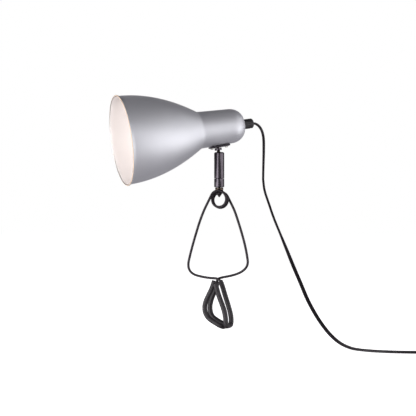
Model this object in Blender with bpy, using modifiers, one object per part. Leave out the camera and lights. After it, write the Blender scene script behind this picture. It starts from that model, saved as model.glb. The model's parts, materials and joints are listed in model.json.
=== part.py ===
"""Clamp-on spot lamp: a spun bell shade on a ball joint, carried by a spring-wire clamp.

Metres, +Z up.  The origin is where the two jaws of the clamp meet, at the lowest point of
their sleeves.  The clamp opens in the XZ plane; its spring coil lies along Y.
Lengths below are in millimetres and are turned into metres by mm() when an object is made.
"""
import math

import bmesh
import bpy
from mathutils import Matrix, Vector

# ---------------------------------------------------------------- driving dimensions (mm)
GAP = 0.3                      # clearance between faces that touch on the real lamp

# clamp
WIRE_R = 1.65                  # spring wire, 3.3 mm
COIL_R = 10.6                  # to the centre of the wire
COIL_Z = 173.6
COIL_PITCH = 3.65
COIL_CLEAR = 3.3               # from the bolt's axis to the turn on either side of it
PASS_START = 0.4               # turns after which the wire moves over past the bolt
PASS_END = 1.1
COIL_LEAN = 0.2                # how far each mm of coil length drops towards the back
COIL_LEAVE = math.radians(23)  # how far above the coil's middle each arm leaves it
SLEEVE_R = 3.4
SLEEVE_BORE_R = 1.95
LEFT_PLANE = 8.2               # back strand of the left arm's wire and its jaw
RIGHT_PLANE = 13.4             # back strand of the right arm's wire and its jaw
JAW_DEPTH = 22.0               # between the two strands of one jaw
CORNER = 4.2                   # rounding where a strand turns across to the other strand

# post and ball joint
POST_X = -10.6
POST_R = 6.8
BOLT_R = 1.45                  # bolt with a cone head inside the coil
CONE_R = 3.9
CONE_DEPTH = 5.5
NIPPLE_R = 5.5
TONGUE_DEPTH = 2.4             # the nipple reaches down between the turns on either side
TONGUE_THICK = 2.4             # of the bolt
FOOT_BOTTOM = 189.3
FOOT_TOP = 201.0
SPIGOT_R = 4.2                 # spigot on the foot, on which the sleeve turns
SPIGOT_TOP = 208.0
GROOVE_R = 3.5                 # groove for the snap ring
GROOVE_TOP = SPIGOT_TOP - 1.6
GROOVE_LOW = SPIGOT_TOP - 2.8
BALL_Z = 230.4
BALL_R = 4.7
SLEEVE_TOP = BALL_Z + 6.1
SLOT_WIDTH = 5.2
SLOT_DEPTH = 9.3
SLEEVE_LOW_BORE_R = 4.55
SLEEVE_TOP_BORE_R = 5.05
FILLET = 2.1
COLLAR_R = 4.8
SEAT_LOW = BALL_Z - 8.0

# head: s runs along the shade's axis from the plane of the mouth to the rear
HEAD_YAW = math.radians(36.7)  # the mouth's turn from -X towards -Y
HEAD_DROP = math.radians(8.2)  # the mouth's dip below level
AXIS_HEIGHT = 38.4             # from the ball's centre to the shade's axis
STUD_S = 130.6                 # where the stud's axis meets the shade's axis
MOUTH_R = 58.6
CREASE_R = 24.6
CREASE_S = 107.0
NECK_END_R = 23.1
NECK_END_S = 150.8
REAR_S = 169.8
REAR_FLAT_R = 7.2
SHADE_WALL = 1.0
RIM_R = 1.1
TUBE_R = 5.0                   # threaded tube through the rear of the shade
TUBE_START_S = 158.6
TUBE_END_S = 177.2
LOCK_NUT_S = 163.7
SPACER_S = (165.5, 167.4)
TOOTH_WASHER_S = 168.1
GRIP_R = 6.65
GRIP_BORE = 2.9
GRIP_STEP_S = 177.6            # where the grip's bore narrows behind the tube
GRIP_SCREW_S = 180.2
GRIP_END = 184.0
PLATE_LENGTH = 27.4            # saddle plate under the neck
PLATE_MIDDLE = -2.2            # its middle, from the stud towards the mouth
PLATE_HALF_ANGLE = math.radians(17)
PLATE_STANDOFF = 0.9
PLATE_THICK = 1.9
RIVET_FRONT = 8.4              # from the stud towards the mouth
RIVET_REAR = -12.0
RIVET_R = 1.4

# lead
CORD_R = 1.5                   # half the thickness of the flat two-core lead
LEAD_YAW = math.radians(20)    # direction in which switch and plug lie
COIL_RING = (20.2, 36.0, 6.6)  # inner radius, outer radius, height of the wound lead

ROUND = 16                     # sides of a small turned piece
SHADE_ROUND = 32


def mm(value):
    """Millimetres to metres, for a number or a point."""
    if isinstance(value, (int, float)):
        return value * 0.001
    return Vector(value) * 0.001


# ---------------------------------------------------------------- scene and materials
for old in list(bpy.data.objects):
    bpy.data.objects.remove(old, do_unlink=True)


def collection(name):
    made = bpy.data.collections.new(name)
    bpy.context.scene.collection.children.link(made)
    return made


PARTS = collection("clamp_spot_lamp")
CUTTERS = collection("cutters")


def material(name, colour, roughness, metallic=0.0):
    made = bpy.data.materials.new(name)
    made.use_nodes = True
    shader = made.node_tree.nodes["Principled BSDF"]
    shader.inputs["Base Color"].default_value = (*colour, 1.0)
    shader.inputs["Roughness"].default_value = roughness
    shader.inputs["Metallic"].default_value = metallic
    return made


SILVER = material("silver_paint", (0.52, 0.52, 0.54), 0.38, 0.6)
BLACK_WIRE = material("black_wire", (0.02, 0.02, 0.022), 0.35, 0.4)
BLACK_GLOSS = material("black_gloss", (0.02, 0.02, 0.022), 0.15, 0.5)
RUBBER = material("black_rubber", (0.03, 0.028, 0.03), 0.7)
NICKEL = material("nickel", (0.72, 0.70, 0.66), 0.2, 1.0)
BRASS = material("brass", (0.75, 0.55, 0.25), 0.3, 1.0)
BLACK_PLASTIC = material("black_plastic", (0.025, 0.025, 0.028), 0.45)
WHITE_PLASTIC = material("white_plastic", (0.85, 0.84, 0.80), 0.5)
CERAMIC = material("ceramic", (0.86, 0.85, 0.82), 0.3)
GLASS = material("opal_glass", (0.95, 0.93, 0.88), 0.2)
PVC = material("black_pvc", (0.02, 0.02, 0.022), 0.5)


# ---------------------------------------------------------------- frames
def empty(name, matrix):
    frame = bpy.data.objects.new(name, None)
    frame.matrix_world = matrix
    PARTS.objects.link(frame)
    return frame


level = Vector((-math.cos(HEAD_YAW), -math.sin(HEAD_YAW), 0.0))
UP = Vector((0.0, 0.0, 1.0))
MOUTH_WAY = (level * math.cos(HEAD_DROP) - UP * math.sin(HEAD_DROP)).normalized()
STUD_WAY = (level * math.sin(HEAD_DROP) + UP * math.cos(HEAD_DROP)).normalized()
TILT_AXIS = STUD_WAY.cross(MOUTH_WAY)

head_turn = Matrix((TILT_AXIS, STUD_WAY, MOUTH_WAY)).transposed()
ball_centre = Vector((POST_X, 0.0, BALL_Z))
stud_turn = head_turn @ Matrix.Rotation(-math.pi / 2, 3, "X")

# head frame: X along the tilt axis, Y up the stud, Z out of the mouth, at the ball's centre
HEAD = empty("head_frame", Matrix.Translation(mm(ball_centre)) @ head_turn.to_4x4())
# stud frame: Z up the stud
STUD = empty("stud_frame", Matrix.Translation(mm(ball_centre)) @ stud_turn.to_4x4())
POST = empty("post_frame", Matrix.Translation(mm((POST_X, 0.0, 0.0))))
CLAMP = empty("clamp_pivot", Matrix.Translation(mm((POST_X, 0.0, COIL_Z))))


# ---------------------------------------------------------------- modelling helpers
def add(name, data, mat, parent=None, at=(0, 0, 0), turn=(0, 0, 0), cutter=False):
    obj = bpy.data.objects.new(name, data)
    if mat is not None:
        data.materials.append(mat)
    (CUTTERS if cutter else PARTS).objects.link(obj)
    if cutter:
        obj.hide_render = True
        obj.display_type = "WIRE"
    obj.parent = parent
    obj.location = mm(at)
    obj.rotation_euler = turn
    return obj


def mesh_from(bm, name):
    data = bpy.data.meshes.new(name)
    bmesh.ops.recalc_face_normals(bm, faces=bm.faces)
    bm.to_mesh(data)
    bm.free()
    return data


def turned(name, profile, mat, parent=None, at=(0, 0, 0), turn=(0, 0, 0), steps=ROUND, ring=False,
           cutter=False):
    """A turned piece: (radius, z) down the outer side, closed back up the bore for a ring."""
    data = bpy.data.meshes.new(name)
    points = [mm((r, 0.0, z)) for r, z in profile]
    edges = [(i, i + 1) for i in range(len(points) - 1)]
    if ring:
        edges.append((len(points) - 1, 0))
    data.from_pydata(points, edges, [])
    obj = add(name, data, mat, parent, at, turn, cutter)
    screw = obj.modifiers.new("turn", "SCREW")
    screw.steps = steps
    screw.render_steps = steps
    screw.use_merge_vertices = True
    screw.merge_threshold = 0.00001
    screw.use_smooth_shade = True
    return obj


def tube(name, outer, inner, low, high, mat, parent=None, at=(0, 0, 0), turn=(0, 0, 0),
         steps=ROUND, bevel=0.0):
    """A plain ring with chamfered outer edges."""
    profile = [(inner, high), (outer - bevel, high)]
    if bevel:
        profile += [(outer, high - bevel), (outer, low + bevel)]
        profile += [(outer - bevel, low), (inner, low)]
    else:
        profile += [(outer, low), (inner, low)]
    return turned(name, profile, mat, parent, at, turn, steps, ring=True)


def rod(name, radius, low, high, mat, parent=None, at=(0, 0, 0), turn=(0, 0, 0), steps=ROUND,
        cutter=False):
    profile = [(0, high), (radius, high), (radius, low), (0, low)]
    return turned(name, profile, mat, parent, at, turn, steps, cutter=cutter)


def prism(name, sides, radius, depth, mat, parent=None, at=(0, 0, 0), turn=(0, 0, 0)):
    bm = bmesh.new()
    bmesh.ops.create_cone(bm, cap_ends=True, segments=sides, radius1=mm(radius),
                          radius2=mm(radius), depth=mm(depth))
    return add(name, mesh_from(bm, name), mat, parent, at, turn)


def block(name, size, mat, parent=None, at=(0, 0, 0), turn=(0, 0, 0), bevel=0.0, segments=2,
          cutter=False):
    bm = bmesh.new()
    bmesh.ops.create_cube(bm, size=1.0)
    bmesh.ops.scale(bm, vec=mm(size), verts=bm.verts)
    obj = add(name, mesh_from(bm, name), mat, parent, at, turn, cutter)
    if bevel:
        rounding = obj.modifiers.new("edges", "BEVEL")
        rounding.width = mm(bevel)
        rounding.segments = segments
    return obj


def cut(obj, cutter, operation="DIFFERENCE"):
    step = obj.modifiers.new(operation.lower(), "BOOLEAN")
    step.operation = operation
    step.solver = "EXACT"
    step.object = cutter
    return obj


def smooth_route(points, spacing):
    """Points spacing mm apart on a smooth curve through the given points."""
    ends = [points[0] * 2 - points[1], *points, points[-1] * 2 - points[-2]]
    dense = []
    for before, start, stop, after in zip(ends, ends[1:], ends[2:], ends[3:]):
        for i in range(24):
            t = i / 24
            dense.append(0.5 * (2 * start + (stop - before) * t
                                + (2 * before - 5 * start + 4 * stop - after) * t ** 2
                                + (3 * start - before - 3 * stop + after) * t ** 3))
    dense.append(points[-1].copy())
    total = sum((b - a).length for a, b in zip(dense, dense[1:]))
    count = max(2, round(total / spacing))
    picked = [dense[0]]
    walked = 0.0
    for a, b in zip(dense, dense[1:]):
        walked += (b - a).length
        if walked >= total * len(picked) / count - 1e-6 and len(picked) < count:
            picked.append(b)
    picked.append(dense[-1])
    return picked


def wire(name, points, radius, mat, parent=None, at=(0, 0, 0), cutter=False):
    """A round wire through the points, with closed ends."""
    data = bpy.data.curves.new(name, "CURVE")
    data.dimensions = "3D"
    spline = data.splines.new("POLY")
    spline.points.add(len(points) - 1)
    for slot, point in zip(spline.points, points):
        slot.co = (*mm(point), 1.0)
    data.bevel_depth = mm(radius)
    data.bevel_resolution = 2
    data.use_fill_caps = True
    return add(name, data, mat, parent, at, cutter=cutter)


def solid_wire(name, points, radius, mat, parent=None, at=(0, 0, 0), cutter=False):
    """The same wire as a welded mesh, which a Boolean can take."""
    curve = wire(name + "_line", points, radius, None, parent, at)
    bpy.context.view_layer.update()
    seen = curve.evaluated_get(bpy.context.evaluated_depsgraph_get())
    data = bpy.data.meshes.new_from_object(seen)
    bpy.data.objects.remove(curve, do_unlink=True)
    bm = bmesh.new()
    bm.from_mesh(data)
    bmesh.ops.remove_doubles(bm, verts=bm.verts, dist=0.00001)
    bmesh.ops.recalc_face_normals(bm, faces=bm.faces)
    bm.to_mesh(data)
    bm.free()
    data.name = name
    return add(name, data, mat, parent, at, cutter=cutter)


# ---------------------------------------------------------------- clamp
def coil_depth(turns):
    """Y of the coil after so many turns: the bolt passes between the first turn and the rest."""
    if turns <= PASS_START:
        return -COIL_CLEAR + COIL_PITCH * (turns - 0.25)
    if turns >= PASS_END:
        return COIL_CLEAR + COIL_PITCH * (turns - 1.25)
    low, high = coil_depth(PASS_START), coil_depth(PASS_END)
    return low + (high - low) * (turns - PASS_START) / (PASS_END - PASS_START)


def coil_point(turns):
    """On the coil, turns counted from the left side over the top, relative to the pivot."""
    angle = math.pi - math.tau * turns
    y = coil_depth(turns)
    return Vector((COIL_R * math.cos(angle), y, COIL_R * math.sin(angle) - COIL_LEAN * y))


COIL_START = COIL_LEAVE / math.tau
COIL_END = 2.5 - COIL_START
LEFT_ARM_ROUTE = [(-31.0, -2.6, 159.0), (-38.3, -0.5, 143.0), (-44.5, 1.5, 126.5),
                  (-50.3, 4.0, 110.5), (-55.3, 6.5, 95.5), (-57.9, 8.0, 85.5),
                  (-56.3, 8.2, 77.2), (-50.0, 8.2, 71.8), (-38.5, 8.2, 68.8),
                  (-26.5, 8.2, 67.2), (-17.0, 8.2, 66.8), (-13.2, 8.2, 65.2)]
RIGHT_JAW_BACK = [(-10.9, 61.4), (-8.4, 55.0), (-5.0, 44.0), (-1.3, 33.0), (1.8, 23.0),
                  (3.5, 14.5), (3.6, 9.5)]
RIGHT_JAW_FRONT = [(-10.7, 59.5), (-8.4, 52.0), (-5.4, 43.0), (-1.4, 33.0), (1.7, 24.0),
                   (3.1, 16.5), (3.5, 10.5)]
RIGHT_ARM_ROUTE = [(8.0, 7.6, 159.0), (13.5, 8.6, 143.0), (18.3, 9.6, 127.0),
                   (22.4, 10.6, 111.0), (25.0, 11.8, 96.0), (25.2, 13.2, 86.5),
                   (20.6, 13.4, 79.0), (11.5, 13.4, 73.6), (1.0, 13.4, 70.4),
                   (-8.0, 13.4, 68.6), (-16.2, 13.4, 66.6), (-18.6, 13.4, 63.4)]
LEFT_JAW_BACK = [(-18.8, 60.0), (-19.1, 57.0), (-20.3, 52.2), (-22.7, 47.0), (-24.9, 42.4),
                 (-26.8, 37.5), (-28.6, 28.5), (-27.8, 20.4), (-24.2, 14.0), (-16.0, 8.9),
                 (-8.1, 4.9)]
LEFT_JAW_FRONT = [(-14.8, 63.0), (-17.8, 54.5), (-22.8, 44.5), (-26.8, 36.0), (-28.1, 28.5),
                  (-26.9, 21.0), (-22.4, 14.4), (-15.0, 9.6), (-7.8, 5.6)]
JAW_TIP_X = SLEEVE_R + GAP / 2
LEFT_TIP_Z = SLEEVE_R
RIGHT_TIP_Z = SLEEVE_R + 1.4


def jaw_loop(back, front, plane, tip_x, tip_z):
    """Down the back strand, across at the tip and up the front strand."""
    near = plane - JAW_DEPTH
    down = [Vector((x, plane, z)) for x, z in back]
    tip = [Vector((tip_x, plane - CORNER * 0.3, tip_z + 0.5)),
           Vector((tip_x, plane - CORNER, tip_z)),
           Vector((tip_x, near + CORNER, tip_z)),
           Vector((tip_x, near + CORNER * 0.3, tip_z + 0.5))]
    up = [Vector((x, near, z)) for x, z in reversed(front)]
    return down + tip + up


def arm_and_jaw(names, arm, jaw, turns, sign):
    """One arm's wire, from the coil to the free end of its jaw, and the hose over the jaw.

    The wire starts 0.3 mm down the tangent from where the coil ends.  The hose starts at
    the arm's last route point and runs to the wire's end.
    """
    pivot = Vector((POST_X, 0.0, COIL_Z))
    leave = coil_point(turns)
    tangent = (coil_point(turns - sign * 0.002) - leave).normalized()
    route = [leave + tangent * GAP]
    route += [Vector(p) - pivot for p in arm] + [p - pivot for p in jaw]
    line = smooth_route(route, 5.0)
    wire(names[0], line, WIRE_R, BLACK_WIRE, CLAMP)
    top = Vector(arm[-1]) - pivot
    first = min(range(len(line)), key=lambda i: (line[i] - top).length)
    covered = line[first:]
    covered[0] = covered[0].lerp(covered[1], 0.5)
    hose = solid_wire(names[1], covered, SLEEVE_R, RUBBER, CLAMP)
    before = covered[0] + (covered[0] - covered[1]).normalized() * 2
    after = covered[-1] + (covered[-1] - covered[-2]).normalized() * 2
    bore = solid_wire(names[1] + "_bore", [before, *covered[1:-1], after], SLEEVE_BORE_R, None,
                      CLAMP, cutter=True)
    cut(hose, bore)


arm_and_jaw(("left_arm_wire", "right_jaw_sleeve"), LEFT_ARM_ROUTE,
            jaw_loop(RIGHT_JAW_BACK, RIGHT_JAW_FRONT, LEFT_PLANE, JAW_TIP_X, RIGHT_TIP_Z),
            COIL_START, 1)
arm_and_jaw(("right_arm_wire", "left_jaw_sleeve"), RIGHT_ARM_ROUTE,
            jaw_loop(LEFT_JAW_BACK, LEFT_JAW_FRONT, RIGHT_PLANE, -JAW_TIP_X, LEFT_TIP_Z),
            COIL_END, -1)

coil_steps = 40
coil_line = [coil_point(COIL_START + (COIL_END - COIL_START) * i / coil_steps)
             for i in range(coil_steps + 1)]
wire("spring_coil", coil_line, WIRE_R, BLACK_WIRE, CLAMP)

# the bolt runs from its cone head inside the coil up between the turns into the foot
coil_crown = COIL_Z + COIL_R
head_top = coil_crown - WIRE_R - 1.0
bolt_top = FOOT_BOTTOM + 7.0
turned("coil_bolt",
       [(0, bolt_top), (BOLT_R, bolt_top), (BOLT_R, head_top), (CONE_R, head_top),
        (CONE_R, head_top - 0.8), (0.6, head_top - CONE_DEPTH), (0, head_top - CONE_DEPTH)],
       BLACK_WIRE, POST, steps=20)
front_crown = coil_crown + COIL_LEAN * COIL_CLEAR
nipple_seat = front_crown + WIRE_R + GAP
nipple = tube("nipple", NIPPLE_R, BOLT_R + GAP, nipple_seat - TONGUE_DEPTH, FOOT_BOTTOM - GAP,
              NICKEL, POST, bevel=0.6)
for side, way in (("front", -1), ("back", 1)):
    cut(nipple, block("nipple_notch_" + side,
                      (3 * NIPPLE_R, NIPPLE_R, 2 * TONGUE_DEPTH), None, POST,
                      (0, way * (TONGUE_THICK + NIPPLE_R) / 2, nipple_seat - TONGUE_DEPTH),
                      cutter=True))

# ---------------------------------------------------------------- post
turned("post_foot",
       [(BOLT_R + GAP, SPIGOT_TOP), (SPIGOT_R - 0.3, SPIGOT_TOP), (SPIGOT_R, SPIGOT_TOP - 0.4),
        (SPIGOT_R, GROOVE_TOP), (GROOVE_R, GROOVE_TOP), (GROOVE_R, GROOVE_LOW),
        (SPIGOT_R, GROOVE_LOW), (SPIGOT_R, FOOT_TOP), (POST_R - 0.3, FOOT_TOP),
        (POST_R, FOOT_TOP - 0.3), (POST_R, FOOT_BOTTOM + 0.8),
        (POST_R - 0.8, FOOT_BOTTOM), (BOLT_R + GAP, FOOT_BOTTOM)],
       BLACK_GLOSS, POST, ring=True)
snap = tube("snap_ring", SPIGOT_R + 0.4, GROOVE_R + GAP, GROOVE_LOW + GAP, GROOVE_TOP - GAP,
            NICKEL, POST)
cut(snap, block("snap_gap", (2.4, 8.0, 4.0), None, POST,
                (0, 4.5, (GROOVE_LOW + GROOVE_TOP) / 2), cutter=True))

fillet = [(POST_R - FILLET * (1 - math.sin(a)), SLEEVE_TOP - FILLET * (1 - math.cos(a)))
          for a in (math.radians(d) for d in range(0, 91, 18))]
sleeve = turned("post_sleeve",
                [(BALL_R, SLEEVE_TOP), *fillet, (POST_R, FOOT_TOP + 0.6),
                 (POST_R - 0.3, FOOT_TOP + GAP), (SLEEVE_LOW_BORE_R, FOOT_TOP + GAP),
                 (SLEEVE_LOW_BORE_R, GROOVE_LOW - GAP), (SLEEVE_TOP_BORE_R, GROOVE_LOW),
                 (SLEEVE_TOP_BORE_R, BALL_Z + 2.2), (BALL_R - 0.7, BALL_Z + 3.0)],
                BLACK_GLOSS, POST, ring=True)
slot_way = math.atan2(level.y, level.x)
slot_middle = level * 8.0
slot = block("sleeve_slot", (12.0, SLOT_WIDTH, SLOT_DEPTH + 6.0), None, POST,
             (slot_middle.x, slot_middle.y, SLEEVE_TOP - SLOT_DEPTH + (SLOT_DEPTH + 6.0) / 2),
             (0, 0, slot_way), cutter=True)
cut(sleeve, slot)

seat = turned("ball_seat",
              [(0, BALL_Z - 2.4), (4.6, BALL_Z - 2.4), (4.6, SEAT_LOW + 0.4), (4.3, SEAT_LOW),
               (0, SEAT_LOW)],
              WHITE_PLASTIC, POST, steps=24)
dish = turned("seat_dish",
              [((BALL_R + GAP) * math.sin(math.radians(d)),
                (BALL_R + GAP) * math.cos(math.radians(d))) for d in range(0, 181, 15)],
              None, POST, (0, 0, BALL_Z), steps=24, cutter=True)
cut(seat, dish)


def helix(radius, low, high, turns, per_turn):
    return [Vector((radius * math.cos(math.tau * i / per_turn),
                    radius * math.sin(math.tau * i / per_turn),
                    low + (high - low) * i / (turns * per_turn)))
            for i in range(turns * per_turn + 1)]


wire("seat_spring", helix(3.3, SPIGOT_TOP + 0.9, SEAT_LOW - 0.9, 5, 10), 0.5, NICKEL, POST)

# ---------------------------------------------------------------- ball stud, in the stud frame
NECK_AT_STUD = AXIS_HEIGHT - (CREASE_R + (NECK_END_R - CREASE_R) * (STUD_S - CREASE_S)
                              / (NECK_END_S - CREASE_S))
PLATE_LOW = NECK_AT_STUD - PLATE_STANDOFF - PLATE_THICK
COLLAR_LOW = 7.8
THREAD_R = 2.0
ball = [(BALL_R * math.sin(math.radians(d)), BALL_R * math.cos(math.radians(d)))
        for d in range(30, 181, 15)]
turned("ball_stud",
       [(0, NECK_AT_STUD + 5.0), (THREAD_R - 0.4, NECK_AT_STUD + 5.0),
        (THREAD_R, NECK_AT_STUD + 4.6), (THREAD_R, COLLAR_LOW + 0.6), (2.25, COLLAR_LOW + 0.3),
        *ball],
       NICKEL, STUD, steps=24)
tube("knuckle_collar", COLLAR_R, THREAD_R + GAP, COLLAR_LOW + 0.6, PLATE_LOW - GAP, BLACK_GLOSS,
     STUD, bevel=0.4)
WASHER_LIFT = 0.5                          # a flat washer on the round neck touches at its rim
WASHER_LOW = NECK_AT_STUD + SHADE_WALL + GAP + WASHER_LIFT
tube("stud_washer", 4.2, THREAD_R + GAP, WASHER_LOW, WASHER_LOW + 0.6, NICKEL, STUD, steps=24)
NUT_THICK = 2.0
nut_middle = (0, 0, WASHER_LOW + 0.9 + NUT_THICK / 2)
nut = prism("stud_nut", 6, 4.0, NUT_THICK, NICKEL, STUD, nut_middle)
cut(nut, rod("stud_nut_bore", THREAD_R + GAP, -4, 4, None, STUD, nut_middle, cutter=True))


# ---------------------------------------------------------------- shade
def shade_radius(s):
    """Outer radius of the shade at s."""
    if s <= CREASE_S:
        return CREASE_R + (MOUTH_R - CREASE_R) * (1 - (s / CREASE_S) ** 2)
    if s <= NECK_END_S:
        return CREASE_R + (NECK_END_R - CREASE_R) * (s - CREASE_S) / (NECK_END_S - CREASE_S)
    share = min(1.0, (s - NECK_END_S) / (REAR_S - NECK_END_S))
    return REAR_FLAT_R + (NECK_END_R - REAR_FLAT_R) * math.sqrt(1 - share * share)


def along(s):
    """Head-frame Z of a station s."""
    return STUD_S - s


bell_stations = [CREASE_S * i / 8 for i in range(9)]
rear_stations = [NECK_END_S + (REAR_S - NECK_END_S) * math.sin(math.radians(d))
                 for d in range(0, 91, 15)]
outer = [(shade_radius(s), along(s)) for s in bell_stations[1:] + [130.0] + rear_stations]
inner = [(r - SHADE_WALL, z) for r, z in outer[:-5]]
inner += [(NECK_END_R - SHADE_WALL - 1.6, along(NECK_END_S + 9.0)), (14.8, along(REAR_S - 3.6)),
          (REAR_FLAT_R + 2.4, along(REAR_S - SHADE_WALL - 0.4)),
          (REAR_FLAT_R, along(REAR_S - SHADE_WALL))]
rim = [(MOUTH_R + RIM_R * 0.5 + RIM_R * math.cos(math.radians(a)),
        along(0) + RIM_R * math.sin(math.radians(a)) - RIM_R) for a in (150, 90, 30, -30, -80)]
shade = turned("shade",
               [*rim, *outer, (TUBE_R + GAP, along(REAR_S)),
                (TUBE_R + GAP, along(REAR_S - SHADE_WALL)), *reversed(inner)],
               SILVER, HEAD, (0, AXIS_HEIGHT, 0), steps=SHADE_ROUND, ring=True)


def stud_and_rivet_holes(obj, prefix):
    """Holes for the stud and the two rivets, their axes running up the stud frame."""
    for label, z, radius in (("stud", 0.0, THREAD_R + GAP + 0.1),
                             ("front_rivet", RIVET_FRONT, RIVET_R + GAP),
                             ("rear_rivet", RIVET_REAR, RIVET_R + GAP)):
        cut(obj, rod(f"{prefix}_{label}_hole", radius, NECK_AT_STUD - 6, NECK_AT_STUD + 6, None,
                     HEAD, (0, 0, z), (-math.pi / 2, 0, 0), cutter=True))


stud_and_rivet_holes(shade, "neck")

# ---------------------------------------------------------------- saddle plate under the neck
bm = bmesh.new()
bmesh.ops.create_grid(bm, x_segments=8, y_segments=12, size=0.5)
for vert in bm.verts:
    angle = vert.co.x * 2 * PLATE_HALF_ANGLE
    z = PLATE_MIDDLE + vert.co.y * PLATE_LENGTH
    lift = 0.5 * max(0.0, abs(vert.co.y) * 2 - 0.84) / 0.16
    radius = shade_radius(STUD_S - z) + PLATE_STANDOFF - lift
    vert.co = mm((radius * math.sin(angle), AXIS_HEIGHT - radius * math.cos(angle), z))
plate = add("saddle_plate", mesh_from(bm, "saddle_plate"), BLACK_GLOSS, HEAD)
shell = plate.modifiers.new("thickness", "SOLIDIFY")
shell.thickness = mm(PLATE_THICK)
outward = plate.data.polygons[0].normal.y < 0
shell.offset = 1.0 if outward else -1.0
stud_and_rivet_holes(plate, "plate")

for label, z in (("saddle_rivet_front", RIVET_FRONT), ("saddle_rivet_rear", RIVET_REAR)):
    surface = AXIS_HEIGHT - shade_radius(STUD_S - z)
    low = surface - PLATE_STANDOFF - PLATE_THICK - GAP - 0.1
    high = surface + SHADE_WALL + 0.5
    turned(label,
           [(0, high + 0.8), (1.6, high + 0.8), (2.5, high), (RIVET_R, high), (RIVET_R, low),
            (2.5, low), (1.6, low - 0.8), (0, low - 0.8)],
           NICKEL, HEAD, (0, 0, z), (-math.pi / 2, 0, 0), steps=12)

# ---------------------------------------------------------------- lampholder, all on the axis
AXIS = (0, AXIS_HEIGHT, 0)
HOLDER_R = 17.6


def thread(radius, depth, start, stop, pitch):
    """Rounded thread crests as rings between two stations, front to rear."""
    points = []
    count = round(abs(stop - start) / pitch * 2)
    for i in range(count + 1):
        s = start + (stop - start) * i / count
        points.append((radius + depth * math.cos(math.pi * i), along(s)))
    return points


turned("holder_shell",
       [(HOLDER_R - 1.6, along(116)), (HOLDER_R - 0.5, along(116)), (HOLDER_R, along(116.5)),
        (HOLDER_R, along(151.7)), (HOLDER_R - 1.6, along(151.7))],
       CERAMIC, HEAD, AXIS, ring=True)
turned("holder_cap",
       [(HOLDER_R - 1.6, along(152)), (HOLDER_R, along(152)), (HOLDER_R, along(154)),
        (HOLDER_R - 1.6, along(158.4)), (10.0, along(161.6)), (TUBE_R + GAP, along(161.8)),
        (TUBE_R + GAP, along(160.2)), (9.4, along(160.0)), (HOLDER_R - 3.2, along(157.6)),
        (HOLDER_R - 1.6, along(154))],
       CERAMIC, HEAD, AXIS, ring=True)
CAP_R = 13.0
turned("screw_shell",
       [(CAP_R + 1.9, along(117.5)), *[(r + 1.5, z) for r, z in
                                       thread(CAP_R, 0.45, 118.0, 136.0, 3.6)],
        *reversed(thread(CAP_R + 0.95, 0.45, 118.0, 136.0, 3.6)), (CAP_R + 1.3, along(117.5))],
       BRASS, HEAD, AXIS, ring=True)
contact_block = rod("contact_block", HOLDER_R - 2.0, along(149.5), along(139.8), CERAMIC, HEAD,
                    AXIS)
TERMINAL_X = 8.0
for side in (-1, 1):
    hole = rod(f"terminal_hole_{side + 1}", 1.7, along(151), along(143), None, HEAD,
               (side * TERMINAL_X, AXIS_HEIGHT, 0), steps=16, cutter=True)
    cut(contact_block, hole)


for side, label in ((-1, "live_terminal"), (1, "neutral_terminal")):
    turned(label,
           [(0, along(143.6)), (1.3, along(143.6)), (1.3, along(149.9)), (2.4, along(149.9)),
            (2.4, along(151.3)), (0, along(151.3))],
           BRASS, HEAD, (side * TERMINAL_X, AXIS_HEIGHT, 0), steps=12)
block("centre_contact", (12.0, 4.0, 0.5), BRASS, HEAD, (0, AXIS_HEIGHT, along(138.6)),
      (0, math.radians(5), 0))
block("side_contact", (4.0, 1.0, 2.4), BRASS, HEAD, (0, AXIS_HEIGHT + 11.0, along(138.1)))
tube("threaded_tube", TUBE_R, 3.6, along(TUBE_END_S), along(TUBE_START_S), NICKEL, HEAD, AXIS,
     steps=24)
lock_middle = (0, AXIS_HEIGHT, along(LOCK_NUT_S))
lock = prism("lock_nut", 6, 8.2, 3.0, NICKEL, HEAD, lock_middle)
cut(lock, rod("lock_nut_bore", TUBE_R + GAP, -4, 4, None, HEAD, lock_middle, steps=24,
              cutter=True))
WASHER_TEETH = 12
bm = bmesh.new()
bmesh.ops.create_cone(bm, cap_ends=True, segments=WASHER_TEETH * 2, radius1=mm(7.0),
                      radius2=mm(7.0), depth=mm(0.8))
for vert in bm.verts:
    step = round(math.atan2(vert.co.y, vert.co.x) / math.tau * WASHER_TEETH * 2)
    if step % 2:
        vert.co.xy *= 0.9
washer_middle = (0, AXIS_HEIGHT, along(TOOTH_WASHER_S))
washer = add("tooth_washer", mesh_from(bm, "tooth_washer"), NICKEL, HEAD, washer_middle)
cut(washer, rod("tooth_washer_bore", TUBE_R + GAP, -2, 2, None, HEAD, washer_middle, steps=24,
                cutter=True))
tube("spacer_ring", 8.0, TUBE_R + GAP, along(SPACER_S[1]), along(SPACER_S[0]), WHITE_PLASTIC,
     HEAD, AXIS, steps=24)

# ---------------------------------------------------------------- cord grip behind the shade
GRIP_START = REAR_S + GAP
grip = turned(
    "cord_grip",
    [(TUBE_R + GAP, along(GRIP_START)), (GRIP_R - 0.3, along(GRIP_START)),
     (GRIP_R, along(GRIP_START + 0.4)), (GRIP_R, along(GRIP_END - 1.6)),
     (GRIP_R - 1.8, along(GRIP_END)), (GRIP_BORE, along(GRIP_END)),
     (GRIP_BORE, along(GRIP_STEP_S)), (TUBE_R + GAP, along(GRIP_STEP_S))],
    BLACK_PLASTIC, HEAD, AXIS, ring=True, steps=24)
screw_middle = (0, AXIS_HEIGHT, along(GRIP_SCREW_S))
cut(grip, rod("grip_screw_hole", 1.6, 0, 9, None, HEAD, screw_middle, (math.pi / 2, 0, 0),
              cutter=True))
rod("grip_screw", 1.3, 2.6, GRIP_R - 0.4, WHITE_PLASTIC, HEAD, screw_middle, (math.pi / 2, 0, 0),
    steps=12)


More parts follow.
